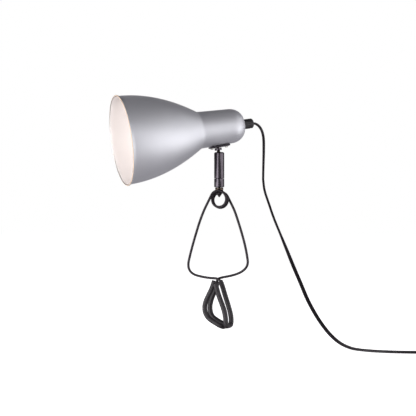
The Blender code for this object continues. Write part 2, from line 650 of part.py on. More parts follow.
def lead(side):
    """One core from inside the grip, through the tube, out to its terminal."""
    return [Vector((side * 1.2, AXIS_HEIGHT, along(GRIP_END - 0.6))),
            Vector((side * 1.3, AXIS_HEIGHT, along(TUBE_END_S - 1.2))),
            Vector((side * 1.8, AXIS_HEIGHT, along(164.0))),
            Vector((side * 2.6, AXIS_HEIGHT, along(158.0))),
            Vector((side * 5.6, AXIS_HEIGHT, along(154.2))),
            Vector((side * TERMINAL_X, AXIS_HEIGHT, along(152.6)))]


for side, name in ((-1, "live_lead"), (1, "neutral_lead")):
    wire(name, smooth_route(lead(side), 3.0), 0.75, PVC, HEAD)

# ---------------------------------------------------------------- bulb
globe_outer = [(30.0 * math.sin(math.radians(d)), along(60.0) + 30.0 * math.cos(math.radians(d)))
               for d in (0, 12, 24, 36, 48, 60, 72, 84, 96, 108, 120)]
globe_outer += [(22.6, along(80.5)), (18.6, along(89.0)), (15.6, along(97.0)),
                (13.9, along(103.0)), (13.5, along(105.6))]
globe_inner = [(max(0.0, r - 0.8), z - (0.8 if r < 24 and z > along(60) else 0))
               for r, z in globe_outer]
turned("bulb_globe", [*globe_outer, *reversed(globe_inner)], GLASS, HEAD, AXIS)
turned("bulb_cap",
       [(12.5, along(106.0)), (13.9, along(106.0)), (13.9, along(107.0)),
        (CAP_R + 0.3, along(109.0)), *thread(CAP_R, 0.4, 114.4, 132.4, 3.6),
        (9.0, along(133.6)), (9.0, along(132.8)), (11.6, along(131.6)), (11.6, along(109.0))],
       NICKEL, HEAD, AXIS, ring=True)
turned("cap_insulator",
       [(2.6, along(133.9)), (9.0, along(133.9)), (5.0, along(136.4)), (2.6, along(136.4))],
       BLACK_PLASTIC, HEAD, AXIS, ring=True, steps=24)
rod("cap_contact", 2.3, along(137.6), along(134.4), NICKEL, HEAD, AXIS, steps=16)

# ---------------------------------------------------------------- lead, switch and plug
EXIT = (HEAD.matrix_world @ mm((0, AXIS_HEIGHT, along(GRIP_END + GAP)))) * 1000
TAIL_ROUTE = [(32.0, 34.6, 274.4), (36.6, 38.0, 267.6), (39.8, 37.0, 256.5), (43.0, 28.0, 238.0),
              (46.0, 17.0, 218.0), (49.0, 6.5, 199.5)]
LEAD_ROUTE = [(49.0, 6.5, 199.5), (54.0, -3.0, 184.5), (63.0, -13.5, 168.0), (74.0, -27.0, 149.0),
              (88.0, -43.0, 128.0), (102.0, -60.5, 108.0), (116.0, -79.0, 88.5),
              (131.0, -99.0, 69.0), (147.0, -121.5, 49.0), (165.8, -144.8, 29.8),
              (183.8, -163.4, 14.9), (201.0, -180.2, 5.6), (218.5, -197.6, 1.8),
              (234.0, -211.5, 1.5), (255.0, -219.5, 1.5), (280.0, -219.5, 1.5),
              (306.0, -213.8, 1.5)]
CORD_POINT = 5.5
wire("cord_tail", smooth_route([EXIT, *map(Vector, TAIL_ROUTE)], CORD_POINT), CORD_R, PVC)


def trimmed(points, spacing, start=0.0, stop=0.0):
    """A smooth route with its first and last points pulled in along themselves."""
    line = smooth_route(points, spacing)
    line[0] += (line[1] - line[0]).normalized() * start
    line[-1] += (line[-2] - line[-1]).normalized() * stop
    return line


wire("cord_lead", trimmed([Vector(p) for p in LEAD_ROUTE], CORD_POINT + 0.5, GAP, GAP), CORD_R,
     PVC)

ahead = Vector((math.cos(LEAD_YAW), math.sin(LEAD_YAW), 0.0))
aside = Vector((-ahead.y, ahead.x, 0.0))
SWITCH_SIZE = (58.0, 24.0, 17.0)
switch_start = Vector((*LEAD_ROUTE[-1][:2], 0.0))
switch_middle = switch_start + ahead * (SWITCH_SIZE[0] / 2)
SWITCH = empty("switch_frame", Matrix.Translation(mm(switch_middle))
               @ Matrix.Rotation(LEAD_YAW, 4, "Z"))
half = SWITCH_SIZE[2] / 2
ROCKER_Z = SWITCH_SIZE[2] - 6.5


def case_half(name, low, high, mat):
    """Half of the switch case: a hollow box with a bore for the lead at both ends."""
    made = block(name, (SWITCH_SIZE[0], SWITCH_SIZE[1], high - low), mat, SWITCH,
                 (0, 0, (low + high) / 2))
    bore = rod(name + "_bore", CORD_R + GAP, -40, 40, None, SWITCH, (0, 0, CORD_R + GAP),
               (0, math.pi / 2, 0), steps=16, cutter=True)
    return cut(made, bore) if low == 0 else made


base = case_half("switch_base", 0.0, half - GAP / 2, BLACK_PLASTIC)
cut(base, block("switch_base_hollow", (42.0, 19.0, half), None, SWITCH,
                (0, 0, half / 2 + 2.0), cutter=True))
cover = case_half("switch_cover", half + GAP / 2, SWITCH_SIZE[2], BLACK_PLASTIC)
cut(cover, block("switch_cover_hollow", (42.0, 19.0, half), None, SWITCH,
                 (0, 0, half - 2.0 + half / 2), cutter=True))
cut(cover, block("rocker_window", (22.4, 13.0, 20.0), None, SWITCH,
                 (0, 0, SWITCH_SIZE[2]), cutter=True))
rocker = turned("switch_rocker",
                [(0, 5.9), (9.4, 5.9), (10.4, 5.2), (10.4, -5.2), (9.4, -5.9), (0, -5.9)],
                BLACK_GLOSS, SWITCH, (0, 0, ROCKER_Z), (math.pi / 2, 0, 0))
cut(rocker, block("rocker_under", (40.0, 40.0, 20.0), None, SWITCH,
                  (0, 0, ROCKER_Z - 10.5), cutter=True))
cut(rocker, rod("rocker_thumb", 26.0, -20, 20, None, SWITCH,
                (0, 0, SWITCH_SIZE[2] + 22.4), (math.pi / 2, 0, 0), cutter=True))
rod("rocker_pin", 1.0, -8.6, 8.6, NICKEL, SWITCH, (0, 0, ROCKER_Z - 2.4), (math.pi / 2, 0, 0),
    steps=12)

ring_middle = Vector((325.0, -150.3, 0.0))
ring_inner, ring_outer, ring_height = COIL_RING
turned("cord_coil",
       [(ring_inner + 1, ring_height), (ring_outer - 1, ring_height),
        (ring_outer, ring_height - 1), (ring_outer, 1), (ring_outer - 1, 0),
        (ring_inner + 1, 0), (ring_inner, 1), (ring_inner, ring_height - 1)],
       PVC, None, ring_middle, ring=True, steps=40)

switch_end = switch_start + ahead * SWITCH_SIZE[0]
switch_end.z = CORD_R
LINK_ROUTE = [(0, 0), (9, 0), (20, 5), (24, 16), (21.2, 29), (17.8, 42)]
link_line = [switch_end + ahead * a + aside * b for a, b in LINK_ROUTE]
wire("cord_link", trimmed(link_line, CORD_POINT, GAP, 0), CORD_R, PVC)

PLUG_SIZE = (35.3, 36.0, 13.7)             # width, length without pins, height
TAIL_TO_PLUG = [(36.1, 11.2, 4.8), (36.0, 20.0, 3.6), (35.4, 32.0, 2.6), (34.5, 46.0, 4.2),
                (34.0, 60.0, 6.85)]
end_line = [ring_middle + ahead * a + aside * b + UP * z for a, b, z in TAIL_TO_PLUG]
wire("cord_end", trimmed(end_line, CORD_POINT, 0, GAP), CORD_R, PVC)

# plug frame: Y towards the pins, at the middle of the plug's rear face
PLUG = empty("plug_frame", Matrix.Translation(mm(end_line[-1]))
             @ Matrix.Rotation(LEAD_YAW, 4, "Z"))
rear_half = 6.0
outline = [(-rear_half, 0), (-rear_half, 9), (-PLUG_SIZE[0] / 2, 24), (-PLUG_SIZE[0] / 2, 33),
           (-PLUG_SIZE[0] / 2 + 3, 36), (PLUG_SIZE[0] / 2 - 3, 36), (PLUG_SIZE[0] / 2, 33),
           (PLUG_SIZE[0] / 2, 24), (rear_half, 9), (rear_half, 0)]
flat = bpy.data.curves.new("plug_body", "CURVE")
flat.dimensions = "2D"
flat.fill_mode = "BOTH"
flat.extrude = mm((PLUG_SIZE[2] - 0.2) / 2)
edge = flat.splines.new("POLY")
edge.points.add(len(outline) - 1)
for slot, point in zip(edge.points, outline):
    slot.co = (*mm((point[0], point[1], 0.0)), 1.0)
edge.use_cyclic_u = True
add("plug_body", flat, BLACK_PLASTIC, PLUG)
PIN_R = 2.0
for side in (-1, 1):
    rod(f"plug_pin_{'left' if side < 0 else 'right'}", PIN_R, PLUG_SIZE[1] + GAP,
        PLUG_SIZE[1] + 19.0, NICKEL, PLUG, (side * 9.3, 0, 0), (-math.pi / 2, 0, 0), steps=16)
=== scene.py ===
"""Looks of the clamp-on spot lamp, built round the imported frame.  Metres, +Z up.

Most pieces are rebuilt here at full smoothness in the place of their CAD nodes.  The rest,
small ones inside the lamp, keep their CAD meshes.  Lengths in the outlines are millimetres,
as in the design, and mm() turns them into metres.
"""
import math

import bmesh
import bpy
from mathutils import Matrix, Vector
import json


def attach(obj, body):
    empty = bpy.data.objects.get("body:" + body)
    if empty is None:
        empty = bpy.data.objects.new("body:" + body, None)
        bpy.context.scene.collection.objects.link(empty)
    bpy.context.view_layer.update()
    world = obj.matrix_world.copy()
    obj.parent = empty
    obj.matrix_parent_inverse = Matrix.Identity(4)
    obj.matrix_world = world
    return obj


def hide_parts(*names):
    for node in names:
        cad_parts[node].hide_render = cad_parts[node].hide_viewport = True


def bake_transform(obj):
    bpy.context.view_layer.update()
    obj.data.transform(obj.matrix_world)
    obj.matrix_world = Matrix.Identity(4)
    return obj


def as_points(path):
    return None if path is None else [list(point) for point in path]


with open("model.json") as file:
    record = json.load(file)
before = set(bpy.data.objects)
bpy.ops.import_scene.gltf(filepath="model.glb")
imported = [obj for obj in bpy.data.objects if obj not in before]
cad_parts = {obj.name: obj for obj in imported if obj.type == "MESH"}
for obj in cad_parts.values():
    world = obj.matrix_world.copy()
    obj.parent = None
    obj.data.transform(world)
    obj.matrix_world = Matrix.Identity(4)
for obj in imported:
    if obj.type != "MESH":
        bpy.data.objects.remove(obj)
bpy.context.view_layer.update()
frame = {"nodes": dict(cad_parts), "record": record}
NODES = frame["nodes"]
JOINTS = {j["name"]: j for j in frame["record"]["behaviour"]["joints"]}


def mm(value):
    if isinstance(value, (int, float)):
        return value * 0.001
    return Vector(value) * 0.001


# ------------------------------------------------------------------ places, from the frame
COIL_CENTRE = Vector(JOINTS["left_arm_open"]["pos_m"])
BALL = Vector(JOINTS["head_tilt"]["pos_m"])
TILT_AXIS = Vector(JOINTS["head_tilt"]["axis"]).normalized()
STUD_WAY = Vector(JOINTS["head_spin"]["axis"]).normalized()
MOUTH_WAY = TILT_AXIS.cross(STUD_WAY).normalized()
POST_X = BALL.x
GAP = 0.3                              # between pieces that touch on the real lamp
AXIS_HEIGHT = 38.4
STUD_S = 130.6
HEAD = Matrix.Translation(BALL) @ Matrix((TILT_AXIS, STUD_WAY, MOUTH_WAY)).transposed().to_4x4()
AXLE = HEAD @ Matrix.Translation(mm((0, AXIS_HEIGHT, 0)))
STUD = HEAD @ Matrix.Rotation(-math.pi / 2, 4, "X")
POST = Matrix.Translation((POST_X, 0, 0))
HERE = Matrix.Identity(4)


# ------------------------------------------------------------------ materials
def new_material(name):
    made = bpy.data.materials.new(name)
    made.use_nodes = True
    return made, made.node_tree.nodes, made.node_tree.links


def shader_of(nodes):
    return nodes["Principled BSDF"]


def set_base(shader, colour, roughness, metallic=0.0, coat=0.0, coat_roughness=0.1, specular=0.5):
    for name, value in (("Base Color", (*colour, 1)), ("Roughness", roughness),
                        ("Metallic", metallic), ("Coat Weight", coat),
                        ("Coat Roughness", coat_roughness), ("Specular IOR Level", specular)):
        shader.inputs[name].default_value = value


def noise_node(nodes, links, scale, detail):
    """Noise in the piece's own coordinates, in cells per metre."""
    place = nodes.new("ShaderNodeTexCoord")
    made = nodes.new("ShaderNodeTexNoise")
    made.inputs["Scale"].default_value = scale
    made.inputs["Detail"].default_value = detail
    links.new(place.outputs["Object"], made.inputs["Vector"])
    return made


def spread(nodes, links, source, low, high, to_input):
    """Map a 0..1 value to low..high on an input."""
    ranged = nodes.new("ShaderNodeMapRange")
    ranged.inputs["To Min"].default_value = low
    ranged.inputs["To Max"].default_value = high
    links.new(source, ranged.inputs["Value"])
    links.new(ranged.outputs["Result"], to_input)


def tint(nodes, links, source, dark, light, to_input):
    ramp = nodes.new("ShaderNodeValToRGB")
    ramp.color_ramp.elements[0].position = 0.3
    ramp.color_ramp.elements[1].position = 0.7
    ramp.color_ramp.elements[0].color = (*dark, 1)
    ramp.color_ramp.elements[1].color = (*light, 1)
    links.new(source, ramp.inputs["Fac"])
    links.new(ramp.outputs["Color"], to_input)


def bump(nodes, links, source, strength, distance):
    made = nodes.new("ShaderNodeBump")
    made.inputs["Strength"].default_value = strength
    made.inputs["Distance"].default_value = distance
    links.new(source, made.inputs["Height"])
    links.new(made.outputs["Normal"], shader_of(nodes).inputs["Normal"])


def finish_material(name, dark, light, rough, cloud, grain, grain_height=0.00002,
                    grain_strength=0.2, **look):
    """Colour and roughness drift over some centimetres, and a fine grain in the surface."""
    made, nodes, links = new_material(name)
    shader = shader_of(nodes)
    middle = tuple((a + b) / 2 for a, b in zip(dark, light))
    set_base(shader, middle, sum(rough) / 2, **look)
    drift = noise_node(nodes, links, cloud, 4.0)
    tint(nodes, links, drift.outputs["Fac"], dark, light, shader.inputs["Base Color"])
    fine = noise_node(nodes, links, grain, 2.0)
    spread(nodes, links, fine.outputs["Fac"], rough[0], rough[1], shader.inputs["Roughness"])
    bump(nodes, links, fine.outputs["Fac"], grain_strength, grain_height)
    return made


SILVER = finish_material("silver_paint", (0.680, 0.684, 0.722), (0.715, 0.719, 0.755),
                         (0.55, 0.61), metallic=0.85, coat=0.05, coat_roughness=0.4,
                         cloud=25.0, grain=4200.0, grain_height=0.000015, grain_strength=0.25)
INSIDE = finish_material("warm_white_enamel", (0.935, 0.872, 0.845), (0.96, 0.90, 0.875),
                         (0.42, 0.52), cloud=18.0, grain=900.0, grain_strength=0.1)
# a painted reflection: a thin tan line on the front of the rolled rim, a warm glint rather than
# wear
TAN_EDGE_REFLECTION = finish_material("painted_reflection_edge", (0.74, 0.57, 0.44), (0.80, 0.63, 0.49), (0.36, 0.48),
                       cloud=120.0, grain=2600.0)
RIM = finish_material("bare_rim", (0.52, 0.50, 0.49), (0.58, 0.56, 0.55), (0.36, 0.48),
                      metallic=0.8, cloud=120.0, grain=2600.0)
BLACK_WIRE = finish_material("black_spring_wire", (0.018, 0.014, 0.018), (0.030, 0.024, 0.029),
                             (0.40, 0.50), metallic=0.4, specular=0.3, cloud=90.0,
                             grain=2200.0, grain_height=0.00003, grain_strength=0.3)
BLACK_GLOSS = finish_material("black_chrome", (0.060, 0.051, 0.062), (0.074, 0.064, 0.076),
                              (0.18, 0.22), metallic=1.0, coat=0.25, coat_roughness=0.22,
                              cloud=150.0, grain=3000.0, grain_strength=0.08)
RUBBER = finish_material("black_hose", (0.015, 0.012, 0.015), (0.028, 0.023, 0.027),
                         (0.42, 0.60), specular=0.4, cloud=160.0, grain=2600.0,
                         grain_height=0.00008, grain_strength=0.5)
NICKEL = finish_material("nickel_plate", (0.66, 0.64, 0.60), (0.76, 0.74, 0.69), (0.12, 0.24),
                         metallic=1.0, cloud=200.0, grain=2400.0, grain_strength=0.1)
DARK_NICKEL = finish_material("dark_nickel", (0.040, 0.031, 0.026), (0.060, 0.047, 0.038),
                              (0.14, 0.22), metallic=1.0, cloud=200.0, grain=2400.0,
                              grain_strength=0.1)
BRASS = finish_material("bare_brass", (0.66, 0.45, 0.19), (0.80, 0.58, 0.27), (0.22, 0.36),
                        metallic=1.0, cloud=180.0, grain=2400.0, grain_strength=0.1)
BLACK_PLASTIC = finish_material("black_moulding", (0.014, 0.013, 0.015), (0.026, 0.024, 0.027),
                                (0.38, 0.52), cloud=120.0, grain=3200.0, grain_height=0.00004,
                                grain_strength=0.35)
ROCKER = finish_material("rocker_gloss", (0.014, 0.013, 0.015), (0.020, 0.019, 0.022),
                         (0.14, 0.22), coat=0.3, cloud=120.0, grain=1500.0, grain_strength=0.05)
NYLON = finish_material("natural_nylon", (0.80, 0.78, 0.71), (0.87, 0.85, 0.79), (0.36, 0.5),
                        cloud=120.0, grain=1800.0)
PORCELAIN = finish_material("porcelain", (0.80, 0.785, 0.74), (0.86, 0.85, 0.81), (0.12, 0.22),
                            coat=0.4, cloud=80.0, grain=900.0, grain_strength=0.08)
OPAL = finish_material("opal_glass", (0.90, 0.88, 0.83), (0.94, 0.93, 0.89), (0.18, 0.26),
                       coat=0.3, cloud=30.0, grain=700.0, grain_strength=0.04)
PVC = finish_material("black_sheath", (0.014, 0.011, 0.014), (0.024, 0.019, 0.023),
                      (0.34, 0.46), metallic=0.3, specular=0.35, cloud=70.0, grain=2600.0,
                      grain_height=0.00004, grain_strength=0.3)

NODE_LOOKS = {"silver_paint": SILVER, "black_wire": BLACK_WIRE, "black_gloss": BLACK_GLOSS,
              "black_rubber": RUBBER, "nickel": NICKEL, "brass": BRASS,
              "black_plastic": BLACK_PLASTIC, "rocker_gloss": ROCKER, "white_plastic": NYLON,
              "ceramic": PORCELAIN, "opal_glass": OPAL, "black_pvc": PVC}
SLOT_OF = {s["node"]: s["material_slot"] for s in frame["record"]["subparts"]}
BODY_OF = {n: body for body, ns in frame["record"]["behaviour"]["bodies"].items() for n in ns}
for node, obj in NODES.items():
    obj.data.materials.clear()
    obj.data.materials.append(NODE_LOOKS[SLOT_OF[node]])


# ------------------------------------------------------------------ modelling helpers
def place(name, bm, mats, matrix=HERE, sharp=40.0):
    data = bpy.data.meshes.new(name)
    bmesh.ops.recalc_face_normals(bm, faces=bm.faces)
    bm.to_mesh(data)
    bm.free()
    for mat in mats if isinstance(mats, (list, tuple)) else [mats]:
        data.materials.append(mat)
    data.transform(matrix)
    data.shade_smooth()
    data.set_sharp_from_angle(angle=math.radians(sharp))
    obj = bpy.data.objects.new(name, data)
    bpy.context.scene.collection.objects.link(obj)
    return obj


def settle(obj, *nodes, body=None):
    """Ride on the body of the CAD node that this piece stands for, and hide the CAD nodes."""
    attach(obj, body or BODY_OF[nodes[0]])
    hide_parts(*nodes)
    return obj


def rounded(profile, radius, closed=True):
    """The outline with each corner turned into a small arc; points on the axis stay."""
    points = [Vector((r, z)) for r, z in profile]
    out = []
    count = len(points)
    for i, here in enumerate(points):
        if (not closed and i in (0, count - 1)) or here.x < 1e-6:
            out.append(here)
            continue
        back = points[i - 1] - here
        ahead = points[(i + 1) % count] - here
        size = min(radius, back.length * 0.45, ahead.length * 0.45)
        bend = math.pi - back.angle(ahead, math.pi)
        if size < 0.01 or bend < math.radians(14):
            out.append(here)
            continue
        start = here + back.normalized() * size
        stop = here + ahead.normalized() * size
        for k in range(4):
            t = k / 3
            out.append(start * (1 - t) ** 2 + here * 2 * t * (1 - t) + stop * t * t)
    return [(p.x, p.y) for p in out]


def lathe(profile, steps, ring=True, paint=None):
    """Turn an outline (radius, z) in mm round Z.  paint(radius, z) gives a face's material."""
    bm = bmesh.new()
    rows = []
    for r, z in profile:
        if r < 1e-6:
            rows.append([bm.verts.new(mm((0, 0, z)))])
        else:
            rows.append([bm.verts.new(mm((r * math.cos(math.tau * k / steps),
                                          r * math.sin(math.tau * k / steps), z)))
                         for k in range(steps)])
    pairs = list(zip(range(len(rows)), range(1, len(rows))))
    if ring:
        pairs.append((len(rows) - 1, 0))
    for i, j in pairs:
        a, b = rows[i], rows[j]
        if len(a) == 1 and len(b) == 1:
            continue
        for k in range(steps):
            n = (k + 1) % steps
            if len(a) == 1:
                corners = (a[0], b[k], b[n])
            elif len(b) == 1:
                corners = (a[k], b[0], a[n])
            else:
                corners = (a[k], b[k], b[n], a[n])
            face = bm.faces.new(corners)
            if paint:
                middle = [(p + q) / 2 for p, q in zip(profile[i], profile[j])]
                face.material_index = paint(*middle)
    return bm


def turned(name, profile, mat, matrix, node, steps, ring=True, radius=0.25, round_it=True):
    outline = rounded(profile, radius, closed=ring) if round_it else profile
    return settle(place(name, lathe(outline, steps, ring), mat, matrix), node)


def smooth_route(points, spacing):
    """Points spacing mm apart on a smooth curve through the given points."""
    points = [Vector(p) for p in points]
    ends = [points[0] * 2 - points[1], *points, points[-1] * 2 - points[-2]]
    dense = []
    for before, start, stop, after in zip(ends, ends[1:], ends[2:], ends[3:]):
        for i in range(32):
            t = i / 32
            dense.append(0.5 * (2 * start + (stop - before) * t
                                + (2 * before - 5 * start + 4 * stop - after) * t ** 2
                                + (3 * start - before - 3 * stop + after) * t ** 3))
    dense.append(points[-1].copy())
    walked = [0.0]
    for a, b in zip(dense, dense[1:]):
        walked.append(walked[-1] + (b - a).length)
    count = max(2, round(walked[-1] / spacing))
    picked = []
    index = 0
    for k in range(count + 1):
        want = walked[-1] * k / count
        while index < len(walked) - 2 and walked[index + 1] < want:
            index += 1
        span = walked[index + 1] - walked[index] or 1.0
        picked.append(dense[index].lerp(dense[index + 1], (want - walked[index]) / span))
    return picked


def eased(points, rounds):
    """Soften a route's small waves while its ends stay."""
    for _ in range(rounds):
        inner = [(a + b * 2 + c) / 4 for a, b, c in zip(points, points[1:], points[2:])]
        points = [points[0], *inner, points[-1]]
    return points


def fill_between(bm, rows):
    """Faces from each row of vertices to the next, and one over either end."""
    sides = len(rows[0])
    for a, b in zip(rows, rows[1:]):
        for k in range(sides):
            n = (k + 1) % sides
            bm.faces.new((a[k], a[n], b[n], b[k]))
    bm.faces.new(rows[0])
    bm.faces.new(rows[-1])


def sweep(points, section, widths=None, round_ends=0.0):
    """A closed tube along points (mm).  section is a list of (across, up) in mm.

    widths gives the direction of "across" at each point; without it the frame turns as
    little as it can.  round_ends closes the ends with a dome of that many millimetres.
    """
    bm = bmesh.new()
    count = len(points)
    tangents = []
    for i in range(count):
        a = points[max(0, i - 1)]
        b = points[min(count - 1, i + 1)]
        tangents.append((b - a).normalized())
    across = tangents[0].orthogonal().normalized()
    rows = []
    for i, (point, tangent) in enumerate(zip(points, tangents)):
        if widths:
            across = widths[i]
        across = (across - tangent * across.dot(tangent)).normalized()
        up = tangent.cross(across)
        stations = [(0.0, 1.0)]
        if round_ends and i == 0:
            stations = [(-math.cos(math.radians(d)) * round_ends, math.sin(math.radians(d)))
                        for d in (20, 45, 70, 90)]
        if round_ends and i == count - 1:
            stations = [(math.cos(math.radians(d)) * round_ends, math.sin(math.radians(d)))
                        for d in (90, 70, 45, 20)]
        for shift, size in stations:
            rows.append([bm.verts.new(mm(point + tangent * shift
                                         + (across * x + up * y) * size)) for x, y in section])
    fill_between(bm, rows)
    return bm


def circle(radius, sides, ribs=0, depth=0.0):
    """A round section, with ribs running along the tube if asked."""
    out = []
    for k in range(sides):
        angle = math.tau * k / sides
        r = radius - depth * (0.5 - 0.5 * math.cos(angle * ribs)) if ribs else radius
        out.append((r * math.cos(angle), r * math.sin(angle)))
    return out


def apply_modifiers(obj):
    bpy.context.view_layer.update()
    seen = obj.evaluated_get(bpy.context.evaluated_depsgraph_get())
    data = bpy.data.meshes.new_from_object(seen)
    obj.modifiers.clear()
    obj.data = data


def cut(obj, *cutters):
    """Boolean difference, applied, with the cutters removed."""
    for cutter in cutters:
        step = obj.modifiers.new("cut", "BOOLEAN")
        step.operation = "DIFFERENCE"
        step.solver = "EXACT"
        step.object = cutter
    apply_modifiers(obj)
    for cutter in cutters:
        bpy.data.objects.remove(cutter, do_unlink=True)


def round_edges(obj, width, segments):
    """Bevel the sharp edges that a cut left, applied."""
    step = obj.modifiers.new("edges", "BEVEL")
    step.width = mm(width)
    step.segments = segments
    step.limit_method = "ANGLE"
    step.angle_limit = math.radians(35)
    apply_modifiers(obj)
    obj.data.shade_smooth()
    obj.data.set_sharp_from_angle(angle=math.radians(40))


def box_mesh(size, centre=(0, 0, 0)):
    bm = bmesh.new()
    bmesh.ops.create_cube(bm, size=1.0)
    bmesh.ops.scale(bm, vec=mm(size), verts=bm.verts)
    bmesh.ops.translate(bm, vec=mm(centre), verts=bm.verts)
    return bm


# ------------------------------------------------------------------ camera, floor and light
CAMERA_AZIMUTH = math.radians(20)
CAMERA_FAR = 1.8
CAMERA_ACROSS = 0.557                  # width seen at the post
CAMERA_LEFT = 0.015                    # how far left of the post it aims
CAMERA_HEIGHT = 0.1616
SENSOR = 36.0


def make_camera():
    right = Vector((math.cos(CAMERA_AZIMUTH), math.sin(CAMERA_AZIMUTH), 0))
    ahead = Vector((-right.y, right.x, 0))
    target = Vector((POST_X, 0, CAMERA_HEIGHT)) - right * CAMERA_LEFT
    data = bpy.data.cameras.new("camera")
    data.sensor_width = SENSOR
    data.lens = SENSOR * CAMERA_FAR / CAMERA_ACROSS
    data.clip_end = 50
    camera = bpy.data.objects.new("camera", data)
    camera.matrix_world = (Matrix.Translation(target - ahead * CAMERA_FAR)
                           @ Matrix.Rotation(CAMERA_AZIMUTH, 4, "Z")
                           @ Matrix.Rotation(math.pi / 2, 4, "X"))
    bpy.context.scene.collection.objects.link(camera)
    bpy.context.scene.camera = camera
    return right, ahead


RIGHT, AHEAD = make_camera()


def area_light(name, where, target, size, size_y, power):
    data = bpy.data.lights.new(name, "AREA")
    data.shape = "RECTANGLE"
    data.size = size
    data.size_y = size_y
    data.energy = power
    light = bpy.data.objects.new(name, data)
    light.location = where
    light.rotation_euler = (target - where).to_track_quat("-Z", "Y").to_euler()
    bpy.context.scene.collection.objects.link(light)


PAPER_GLOW = 0.92
UP = Vector((0, 0, 1))
LIGHTS_HEIGHT = 0.2                    # what the lights aim at, on the post's axis
# name, then metres to the right, ahead and up from there, width, height and watts
LIGHTS = [("right", 1.45, -0.45, -0.22, 1.3, 1.1, 12),
          ("right_back_high", 1.45, 0.1, 0.8, 1.0, 0.8, 4),
          ("back", 0.0, 1.6, 0.5, 1.2, 0.8, 2),
          ("right_high", 0.85, -1.2, 0.35, 0.7, 0.5, 3),
          ("left", -1.3, -0.9, -0.1, 2.0, 2.0, 48)]
# the room in the reflections: how far up from below (0) to overhead (1), and the colour there
ROOM_LEVELS = [(0.02, (0.40, 0.39, 0.41)), (0.40, (0.36, 0.35, 0.37)), (0.55, (0.34, 0.33, 0.35)),
               (0.75, (0.09, 0.085, 0.095)), (0.98, (0.05, 0.047, 0.055))]


def make_studio():
    """White behind the lamp, soft boxes round it, and a dim room in its reflections."""
    scene = bpy.context.scene
    scene.view_settings.view_transform = "Standard"
    world = bpy.data.worlds.new("studio")
    world.use_nodes = True
    nodes, links = world.node_tree.nodes, world.node_tree.links
    backdrop = nodes["Background"]
    backdrop.inputs["Color"].default_value = (1.0, 1.0, 1.0, 1)
    room = nodes.new("ShaderNodeBackground")
    room.inputs["Strength"].default_value = 1.0
    place_in_room = nodes.new("ShaderNodeTexCoord")
    parts = nodes.new("ShaderNodeSeparateXYZ")
    levels = nodes.new("ShaderNodeMapRange")
    levels.inputs["From Min"].default_value = -1.0
    links.new(place_in_room.outputs["Generated"], parts.inputs["Vector"])
    links.new(parts.outputs["Z"], levels.inputs["Value"])
    ramp = nodes.new("ShaderNodeValToRGB")
    for position, colour in ROOM_LEVELS:
        stop = ramp.color_ramp.elements.new(position)
        stop.color = (*colour, 1)
    ramp.color_ramp.elements.remove(ramp.color_ramp.elements[0])
    ramp.color_ramp.elements.remove(ramp.color_ramp.elements[-1])
    links.new(levels.outputs["Result"], ramp.inputs["Fac"])
    links.new(ramp.outputs["Color"], room.inputs["Color"])
    ray = nodes.new("ShaderNodeLightPath")
    mix = nodes.new("ShaderNodeMixShader")
    links.new(ray.outputs["Is Camera Ray"], mix.inputs["Fac"])
    links.new(room.outputs["Background"], mix.inputs[1])
    links.new(backdrop.outputs["Background"], mix.inputs[2])
    links.new(mix.outputs["Shader"], nodes["World Output"].inputs["Surface"])
    scene.world = world
    bm = bmesh.new()
    bmesh.ops.create_grid(bm, x_segments=1, y_segments=1, size=6.0)
    paper, paper_nodes, _ = new_material("pale_paper")
    sheet = shader_of(paper_nodes)
    set_base(sheet, (0.92, 0.92, 0.92), 0.9, specular=0.1)
    sheet.inputs["Emission Color"].default_value = (1.0, 1.0, 1.0, 1)
    sheet.inputs["Emission Strength"].default_value = PAPER_GLOW
    floor = place("floor", bm, paper)
    floor.location.z = -0.0005
    floor.visible_glossy = False
    floor.visible_diffuse = False
    middle = Vector((POST_X, 0, LIGHTS_HEIGHT))
    for name, right, ahead, up, width, height, power in LIGHTS:
        area_light(name, middle + RIGHT * right + AHEAD * ahead + UP * up, middle, width, height,
                   power)


make_studio()

# ------------------------------------------------------------------ shade
MOUTH_R = 58.6
CREASE_R = 24.6
CREASE_S = 107.0
NECK_END_R = 23.1
NECK_END_S = 150.8
REAR_S = 169.8
REAR_FLAT_R = 7.2
WALL = 1.0
RIM_R = 1.1
TUBE_HOLE = 5.3                        # for the threaded tube, in the shade's rear and the grip


def shade_radius(s):
    """Outer radius of the shade at s, counted from the mouth to the rear."""
    if s <= CREASE_S:
        return CREASE_R + (MOUTH_R - CREASE_R) * (1 - (s / CREASE_S) ** 2)
    if s <= NECK_END_S:
        return CREASE_R + (NECK_END_R - CREASE_R) * (s - CREASE_S) / (NECK_END_S - CREASE_S)
    share = min(1.0, (s - NECK_END_S) / (REAR_S - NECK_END_S))
    return REAR_FLAT_R + (NECK_END_R - REAR_FLAT_R) * math.sqrt(1 - share * share)


def along(s):
    return STUD_S - s


